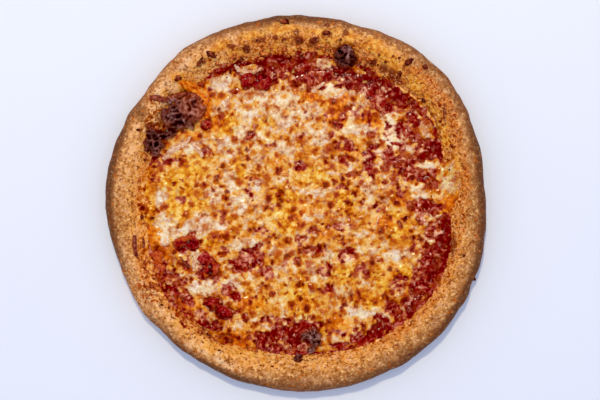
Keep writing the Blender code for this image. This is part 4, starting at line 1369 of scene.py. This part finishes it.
# %% Charred finish
def make_char_finish():
    finish = Finish("charred_skin", 0.4)
    ridges_and_crease_shade, edge, black, rust = finish.attributes("ridges_and_crease_shade", "edge", "black", "rust")
    # Ridges are painted lighter, up to a pale sheen at the top of the ramp, and creases darker: painted
    # highlight and painted shade.
    value = finish.plus(finish.times(ridges_and_crease_shade, 0.55), finish.times(finish.grain(3.0 * MM, 2.0, 0.6, 1.2), 0.5))
    # Black darkens the char; on the top bubble it is painted shade.
    value = finish.minus(value, finish.times(black, 0.16))
    dark = finish.ramp(value, (0.28, 26, 4, 8), (0.41, 68, 24, 22), (0.52, 106, 52, 42),
                       (0.64, 144, 92, 80), (0.78, 192, 148, 138))
    rusty = finish.ramp(value, (0.30, 84, 14, 0), (0.46, 132, 46, 20), (0.58, 164, 76, 42),
                        (0.76, 200, 120, 84))
    dark = finish.blend(finish.times(rust, 0.85), dark, rusty)
    finish.base(finish.stain(dark, colour(134, 36, 8), edge, 0.3, 1.0, 0.6))
    finish.wet(0.12, 1.0, 0.08)
    finish.bump((finish.grain(2.8 * MM, 1.5, 0.5, 1.0), 1.0 * MM), (finish.grain(0.9 * MM, 1.0), 0.15 * MM))
    return finish.material


# %% Charred bubbles
# Each bubble is (piece, node, cells, cover, lobes, raggedness in mm, wrinkle depth and size in mm).
CHARRED_BUBBLES = (
    ("burnt_shell_left", "charred_bubble_left", 128, (175, 128, 37, 23, 45),
     ((190, 109, 13.0, 12.5, 20, 9.0), (175, 119, 10.5, 11.0, 40, 8.5), (190, 123, 5.0, 4.6, 0, 8.0),
      (166, 133, 8.5, 4.6, 10, 5.5), (155, 143, 8.0, 11.5, 0, 5.0), (174, 99, 6.0, 4.0, 10, 5.0)),
     2.8, 1.25, 5.6),
    ("burnt_shell_top", "charred_bubble_top", 60, (345, 58, 11.5, 11.5, 0),
     ((344, 57, 9.3, 9.3, 0, 8.0), (350, 60, 6.0, 6.5, 0, 7.0)),
     0.6, 1.3, 4.6),
    ("burnt_shell_bottom", "charred_bubble_bottom", 70, (309, 345, 17, 11, 47),
     ((315, 338, 5.5, 8.5, 10, 5.5), (306, 336, 4.5, 3.2, 10, 3.5), (312, 350, 4.0, 3.5, 40, 3.0),
      (298, 357, 4.5, 2.6, 10, 3.0)),
     1.8, 0.9, 4.5),
)
# The blackest places are charring on the left and bottom bubbles. On the top bubble they also paint shade
# down both sides and along the foot, so that its middle stays lighter, like a lit ball.
BLACKEST_PLACES = (
    (155, 144, 9, 13, 0), (190, 123, 4, 4, 0), (175, 118, 9, 10, 0, 0.9), (168, 133, 8, 4, 0),
    (338, 58, 5, 9, 15, 1.5), (354, 59, 4, 9, 0, 1.5), (346, 67, 10, 3, 0, 1.3), (345, 57, 12, 12, 0, 0.35),
    (192, 103, 7, 5, 0, 0.8), (298, 357, 7, 5, 0), (311, 338, 12, 13, 0, 0.6))
RUSTY_PLACES = (
    (202, 110, 5, 14, 0), (180, 96, 15, 4, 0), (194, 115, 7, 7, 0, 0.7), (160, 100, 8, 4, 0),
    (187, 108, 6, 8, 0, 0.7), (165, 127, 7, 5, 0, 0.6))
char_finish = make_char_finish()
for index, (name, node, cells, patch, lobes, ragged, wrinkle, wrinkle_size) in enumerate(CHARRED_BUBBLES):
    mesh, x, y = lump_mesh(name, cells, patch, lobes, ragged, wrinkle, wrinkle_size, 31.0 + 2.3 * index)
    set_attribute(mesh, "black", patch_field(x, y, BLACKEST_PLACES, 0.4), 0.0, 2.0)
    set_attribute(mesh, "rust", patch_field(x, y, RUSTY_PLACES, 0.5))
    add_piece(name, mesh, char_finish, (node,))

# %% Tomato finish
def make_tomato_finish():
    finish = Finish("cooked_tomato", 0.26)
    ridges_and_crease_shade, edge, dark, orange = finish.attributes("ridges_and_crease_shade", "edge", "dark", "orange")
    # Ridges of the wrinkles are painted lighter and creases darker: painted highlight and painted shade.
    value = finish.plus(finish.times(ridges_and_crease_shade, 0.30), finish.times(finish.grain(3.6 * MM, 2.0, 0.6, 1.0), 0.70))
    value = finish.minus(value, finish.times(dark, 0.14))
    red = finish.ramp(value, (0.32, 72, 0, 6), (0.43, 124, 4, 10), (0.54, 156, 20, 20),
                      (0.63, 184, 62, 48), (0.74, 218, 136, 112))
    flesh = finish.stain(red, colour(186, 84, 26), finish.grain(6.0 * MM, 1.0), 0.54, 0.70, 0.4)
    orange = finish.plus(orange, finish.minus(finish.grain(4.4 * MM, 1.0, 0.5, 1.0), 0.5))
    flesh = finish.stain(flesh, colour(212, 96, 20), orange, 0.3, 0.9, 0.8)
    finish.base(finish.stain(flesh, colour(172, 60, 34), edge, 0.5, 1.0, 0.5))
    finish.wet(0.08, 0.3, 0.14)
    finish.bump((finish.grain(2.4 * MM, 1.5), 1.1 * MM), (finish.grain(1.1 * MM, 1.0), 0.2 * MM))
    return finish.material


# %% Tomato
TOMATO_CELLS = 56
TOMATO_RAGGED = 2.4
TOMATO_WRINKLE = 0.42
TOMATO_WRINKLE_SIZE = 4.8
# Each chunk is (piece, node, cover, lobes).
TOMATO_CHUNKS = (
    ("tomato_piece_top", "tomato_chunk_top", (256, 80, 14.5, 9, -4),
     ((248, 80, 6.8, 6.0, 0, 2.8), (261, 81, 9.5, 6.8, -3, 3.2))),
    ("tomato_piece_left", "tomato_chunk_left", (186, 243, 12.5, 9, 25),
     ((181, 242, 6.5, 5.2, 20, 2.2), (191, 243, 6.5, 6.0, 10, 2.8))),
    ("tomato_piece_lower_left", "tomato_chunk_lower_left", (208.5, 264, 13.5, 10, 70),
     ((205, 258, 6.0, 5.4, 60, 2.2), (211, 269, 7.5, 6.2, 70, 2.6))),
    ("tomato_piece_bottom_left", "tomato_chunk_bottom_left", (217.5, 308.5, 14.5, 7.5, -33),
     ((211, 304, 6.5, 4.2, -35, 3.0), (224, 312, 7.5, 4.6, -30, 3.4))),
    ("tomato_piece_rim_left", "tomato_chunk_rim_left", (158, 264, 13.5, 8.5, 82),
     ((157, 257, 5.5, 4.8, 80, 1.6), (159, 270, 6.5, 5.4, 85, 1.8))),
    ("tomato_piece_small", "tomato_chunk_small", (208, 125, 6.5, 5, 75), ((208, 125, 4.6, 3.4, 75, 3.0),)),
)
DARK_TOMATO = (
    (256, 80, 15, 8, 0, 0.45), (262, 73, 11, 2.5, 0, 1.2), (243, 76, 3, 6, 0, 0.6), (190, 243, 5, 4, 0),
    (181, 247, 5, 5, 0, 0.6), (209, 272, 4, 5, 0), (216, 312, 13, 3.5, -33), (206, 305, 5, 3, 0, 0.8))
OILY_TOMATO = (
    (158, 264, 10, 16, 0, 0.66), (216, 262, 4, 10, 0, 0.5), (182, 238, 8, 3, 0, 0.6),
    (200, 276, 8, 4, 0, 0.7), (172, 250, 5, 4, 0, 0.4))
tomato_finish = make_tomato_finish()
for index, (name, node, patch, lobes) in enumerate(TOMATO_CHUNKS):
    mesh, x, y = lump_mesh(name, TOMATO_CELLS, patch, lobes, TOMATO_RAGGED, TOMATO_WRINKLE,
                           TOMATO_WRINKLE_SIZE, 51.0 + 1.7 * index)
    set_attribute(mesh, "dark", patch_field(x, y, DARK_TOMATO, 0.5))
    set_attribute(mesh, "orange", patch_field(x, y, OILY_TOMATO, 0.5))
    add_piece(name, mesh, tomato_finish, (node,))

# %% [markdown]
# ## Small things lie on what is there
# Shreds, crumbs and herbs rest on the top of the layers. A tree holds their upper points, and the highest
# of the few nearest is the ground under a place, so that nothing floats or is lost from sight.

# %% Ground
NEAR_POINTS = 5
FLOOR_MARGIN = 0.5 * MM


def tree_of_tops():
    """The upper points of the layers, and a tree that finds them by place."""
    layers = np.concatenate([get_points(piece.data) for piece in (crust, sauce, cheese)])
    tops = layers[layers[:, 2] > BASE_THICKNESS + FLOOR_MARGIN]
    tree = kdtree.KDTree(len(tops))
    for index, (a, b, _) in enumerate(tops.tolist()):
        tree.insert((a, b, 0.0), index)
    tree.balance()
    return tops, tree


ground_points, ground_tree = tree_of_tops()


def ground(x, y):
    return max(ground_points[index][2] for _, index, _ in ground_tree.find_n((x, y, 0.0), NEAR_POINTS))


print("ground in the middle:", round(ground(0.0, 0.0) / MM, 1), "mm")

# %% [markdown]
# ## Shreds
# Some shreds of cheese never quite melt, and one has run down beside the large bubble as an orange
# strand. Each is a thin tube along a few given points, made from a curve, thicker in the middle.

# %% Shred tools
def shred_mesh(name, shreds):
    """Tubes along paths: each shred is (list of (x, y, height above the ground in mm), radius in mm)."""
    curve = bpy.data.curves.new(name, "CURVE")
    curve.dimensions = "3D"
    curve.bevel_depth = MM
    curve.bevel_resolution = 2
    curve.resolution_u = 3
    curve.use_fill_caps = True
    for path, radius in shreds:
        spline = curve.splines.new("NURBS")
        spline.points.add(len(path) - 1)
        spline.use_endpoint_u = True
        spline.order_u = 3
        for index, (point, (x, y, lift)) in enumerate(zip(spline.points, path)):
            swelling = 0.6 + 0.4 * math.sin(math.pi * (index / (len(path) - 1)))
            uneven = 1.0 + 0.3 * noise.noise((400.0 * x, 400.0 * y, 5.0))
            point.co = (x, y, ground(x, y) + lift * MM, 1.0)
            point.radius = radius * swelling * uneven
    holder = bpy.data.objects.new(name, curve)
    bpy.context.scene.collection.objects.link(holder)
    mesh = bpy.data.meshes.new_from_object(holder.evaluated_get(bpy.context.evaluated_depsgraph_get()))
    bpy.data.objects.remove(holder)
    return mesh


def pixel_path(lift, *pixels):
    """A path over given pixels, at one height in mm above the ground."""
    return [(*spot(px, py), lift) for px, py in pixels]


def make_shred_finish(name, light, middle, dark, roughness, coat):
    """A finish for small things: three colours broken up by noise."""
    finish = Finish(name, roughness)
    finish.base(finish.ramp(finish.grain(2.2 * MM, 3.0, 0.6), (0.35, *dark), (0.5, *middle), (0.65, *light)))
    finish.wet(0.15, coat, 0.14)
    finish.bump((finish.grain(1.6 * MM, 2.0), 0.5 * MM))
    return finish.material


# %% Orange strand
strand = shred_mesh("melted_strand", [
    (pixel_path(-1.3, (179, 81), (185, 85), (192, 90), (199, 96), (203, 103), (206, 111), (206, 118)), 3.8),
    (pixel_path(-1.6, (186, 82), (193, 85), (199, 90)), 3.2),
    (pixel_path(-1.4, (201, 92), (206, 98), (208, 106)), 2.6)])
strand_finish = make_shred_finish("oily_cheese", (246, 160, 40), (226, 106, 10), (178, 54, 10), 0.3, 0.4)
add_piece("melted_strand", strand, strand_finish)

# %% Browned shreds
brown_shreds = shred_mesh("browned_shreds", [
    (pixel_path(0.6, (152, 99), (158, 99), (165, 101), (172, 102)), 2.5),
    (pixel_path(1.6, (170, 99), (178, 96), (187, 94), (195, 95), (201, 99)), 2.3),
    (pixel_path(0.0, (136, 235), (136, 241), (136, 248), (139, 256)), 2.3),
    (pixel_path(-0.2, (143, 238), (145, 243), (144, 248)), 1.5),
    (pixel_path(0.0, (180, 257), (184, 263), (188, 267), (193, 268)), 1.2)])
brown_finish = make_shred_finish("browned_cheese", (172, 92, 58), (136, 52, 30), (84, 20, 12), 0.42, 0.2)
add_piece("browned_shreds", brown_shreds, brown_finish)

# %% Pale shreds
pale_shreds = shred_mesh("pale_shreds", [
    (pixel_path(-1.3, (191, 136), (187, 143), (180, 146), (172, 149), (168, 154), (163, 159)), 3.2),
    (pixel_path(-1.0, (191, 142), (195, 145), (199, 150), (202, 157)), 2.4),
    (pixel_path(-1.4, (235, 64), (238, 70), (245, 73), (253, 72), (262, 67)), 2.7),
    (pixel_path(-0.9, (313, 92), (318, 86), (325, 82)), 1.9),
    (pixel_path(-0.9, (334, 98), (341, 96), (345, 90)), 2.0),
    (pixel_path(-0.8, (201, 254), (196, 258), (193, 265), (194, 271)), 2.4)])
pale_finish = make_shred_finish("pale_cheese", (240, 204, 166), (226, 172, 128), (200, 122, 74), 0.34, 0.3)
add_piece("pale_shreds", pale_shreds, pale_finish)

# %% [markdown]
# Over the bare sauce lie thin crooked threads of cheese. They start at random places where the sauce
# shows and wander.

# %% Threads
THREAD_COUNT = 26
THREAD_STEP = 1.7 * MM
THREAD_LIFT = -0.15
BARE_ENOUGH = 0.45


def wandering_threads():
    """Short crooked paths that start on bare sauce."""
    threads = []
    while len(threads) < THREAD_COUNT:
        angle, radius = rng.uniform(0, 2 * math.pi), rng.uniform(20, 126) * MM
        place_x, place_y = radius * math.cos(angle), radius * math.sin(angle)
        if float(sauce_shows(np.array([place_x]), np.array([place_y]))[0]) < BARE_ENOUGH:
            continue
        heading, bend = rng.uniform(0, 2 * math.pi), rng.uniform(-0.9, 0.9)
        path = []
        for _ in range(rng.choice((4, 5, 6))):
            path.append((place_x, place_y, THREAD_LIFT))
            place_x += THREAD_STEP * math.cos(heading)
            place_y += THREAD_STEP * math.sin(heading)
            heading += bend + rng.uniform(-0.5, 0.5)
        threads.append((path, rng.uniform(0.5, 1.1)))
    return threads


threads = shred_mesh("sauce_threads", wandering_threads())
thread_finish = make_shred_finish("stained_cheese", (214, 140, 104), (186, 88, 56), (150, 40, 22), 0.3, 0.3)
add_piece("sauce_threads", threads, thread_finish)

# %% [markdown]
# ## Crumbs and flecks
# Burnt crumbs stick to the rim, mostly on its inner side, and herb flecks lie on the toppings. Each is a
# small ball of 20 or 80 faces, pressed flat and knocked out of shape.

# %% Crumb tools
def crumbs_mesh(name, places, divisions):
    """Small crumbs: each place is (x, y, half length, half width, half height in mm, turn)."""
    body = bmesh.new()
    for index, (place_x, place_y, half_length, half_width, half_height, turn) in enumerate(places):
        ball = bmesh.ops.create_icosphere(body, subdivisions=divisions, radius=1.0)["verts"]
        level = ground(place_x, place_y) + 0.35 * half_height * MM
        for vert in ball:
            dent = 1.0 + 0.75 * noise.noise(vert.co * 1.6 + Vector((7.1 * index, 0.0, 0.0)))
            along, across, up = (vert.co.x * half_length * dent * MM, vert.co.y * half_width * dent * MM,
                                 vert.co.z * half_height * dent * MM)
            vert.co = (place_x + along * math.cos(turn) - across * math.sin(turn),
                       place_y + along * math.sin(turn) + across * math.cos(turn), level + up)
    return mesh_from(body, name)


def rim_place(angle, share):
    """The place at a share of the rim's width in one direction."""
    outer = float(outer_radius(np.array([angle]))[0])
    radius = outer - share * (outer - float(topping_radius(np.array([angle]))[0]))
    return OUTLINE_CENTRE[0] + radius * math.cos(angle), OUTLINE_CENTRE[1] + radius * math.sin(angle)


def thrown_crumb(angle, share, size, longest, flatness):
    """A crumb on the rim that is up to so many times longer than wide, and turned at random."""
    half_length = size * rng.uniform(1.0, longest)
    return (*rim_place(angle, share), half_length, size, flatness * size, rng.uniform(0, math.pi))


print("half way down the right-hand slope:", [round(v / MM, 1) for v in rim_place(0.0, 0.85)], "mm")

# %% Burnt flakes
# Each flake is (pixel x, pixel y, half length, half width in mm, turn in degrees).
FLAKES = (
    (286, 24, 4.0, 2.2, 0), (212, 56, 3.8, 2.5, -20), (247, 50, 2.8, 2.0, 30), (299, 42, 2.6, 1.8, 0),
    (326, 35, 2.8, 1.4, 10), (314, 42, 2.6, 1.8, 40), (373, 63, 3.0, 1.6, 20), (407, 64, 4.6, 2.2, 35),
    (399, 75, 4.2, 1.9, 60), (424, 69, 2.2, 2.0, 0), (423, 101, 2.2, 2.0, 0), (392, 58, 1.2, 1.0, 0),
    (398, 60, 1.4, 1.0, 30), (201, 64, 4.6, 1.4, 55), (141, 131, 2.2, 1.2, -10), (151, 128, 3.0, 1.4, -20),
    (142, 217, 1.8, 1.6, 0), (152, 218, 1.8, 1.4, 0), (210, 336, 3.0, 1.8, -60), (230, 341, 2.4, 1.6, 0),
    (474, 279, 1.8, 1.4, 0), (241, 60, 2.4, 1.8, 30), (301, 55, 2.4, 1.6, 60), (179, 80, 3.4, 2.0, 20),
    (439, 122, 1.4, 1.0, 0), (450, 146, 1.6, 1.4, 0), (298, 360, 3.4, 1.6, 10))
FLAKE_HALF_HEIGHT = 0.9
MORE_FLAKES = 36


def flake_places():
    places = []
    for px, py, half_length, half_width, turn in FLAKES:
        places.append((*spot(px, py), half_length, half_width, FLAKE_HALF_HEIGHT, math.radians(turn)))
    for _ in range(MORE_FLAKES):
        angle = rng.choice((rng.uniform(0.9, 2.5), rng.uniform(3.3, 4.6), rng.uniform(0, 2 * math.pi)))
        share, size = rng.uniform(0.5, 1.08), rng.uniform(0.45, 1.3)
        places.append(thrown_crumb(angle, share, size, 1.7, 0.5))
    return places


flakes = crumbs_mesh("burnt_flakes", flake_places(), 2)
flake_finish = make_shred_finish("burnt_crumb", (158, 66, 26), (104, 28, 10), (56, 8, 4), 0.5, 0.1)
add_piece("burnt_flakes", flakes, flake_finish)

# %% [markdown]
# Where the cheese stops on the slope of the rim it breaks up into small baked crumbs, orange to brown.
# They soften the border between the toppings and the dough, most of all at the top and at the lower left.

# %% Baked crumbs on the slope
# Each stretch is (first and last degree, outer and inner share of the rim's width, count).
CRUMB_STRETCHES = (
    (200, 242, 0.64, 0.98, 64), (58, 124, 0.66, 0.96, 64), (140, 196, 0.78, 0.98, 16),
    (250, 330, 0.90, 1.06, 18))


def baked_crumb_places():
    places = []
    for first_turn, last_turn, outer_share, inner_share, count in CRUMB_STRETCHES:
        for _ in range(count):
            angle = math.radians(rng.uniform(first_turn, last_turn))
            share = outer_share + (inner_share - outer_share) * math.sqrt(rng.random())
            places.append(thrown_crumb(angle, share, rng.uniform(0.8, 1.8), 1.9, 0.34))
    return places


crumbs = crumbs_mesh("baked_crumbs", baked_crumb_places(), 2)
crumb_finish = make_shred_finish("baked_crumb", (236, 150, 62), (190, 84, 28), (122, 30, 12), 0.45, 0.2)
add_piece("baked_crumbs", crumbs, crumb_finish)

# %% [markdown]
# Dried herbs are the smallest things on the pizza: thin dark flecks, scattered evenly, that lie flat where
# they fell.

# %% Herb flecks
FLECK_COUNT = 50
FLECK_REACH = 122 * MM


def fleck_places():
    places = []
    for _ in range(FLECK_COUNT):
        angle, radius = rng.uniform(0, 2 * math.pi), FLECK_REACH * math.sqrt(rng.random())
        size = rng.uniform(0.3, 0.6)
        places.append((radius * math.cos(angle), radius * math.sin(angle), size * 1.5, size, 0.4 * size,
                       rng.uniform(0, math.pi)))
    return places


herbs = crumbs_mesh("herb_flecks", fleck_places(), 1)
herb_finish = make_shred_finish("dried_herb", (110, 44, 16), (76, 22, 8), (46, 10, 4), 0.6, 0.0)
add_piece("herb_flecks", herbs, herb_finish)
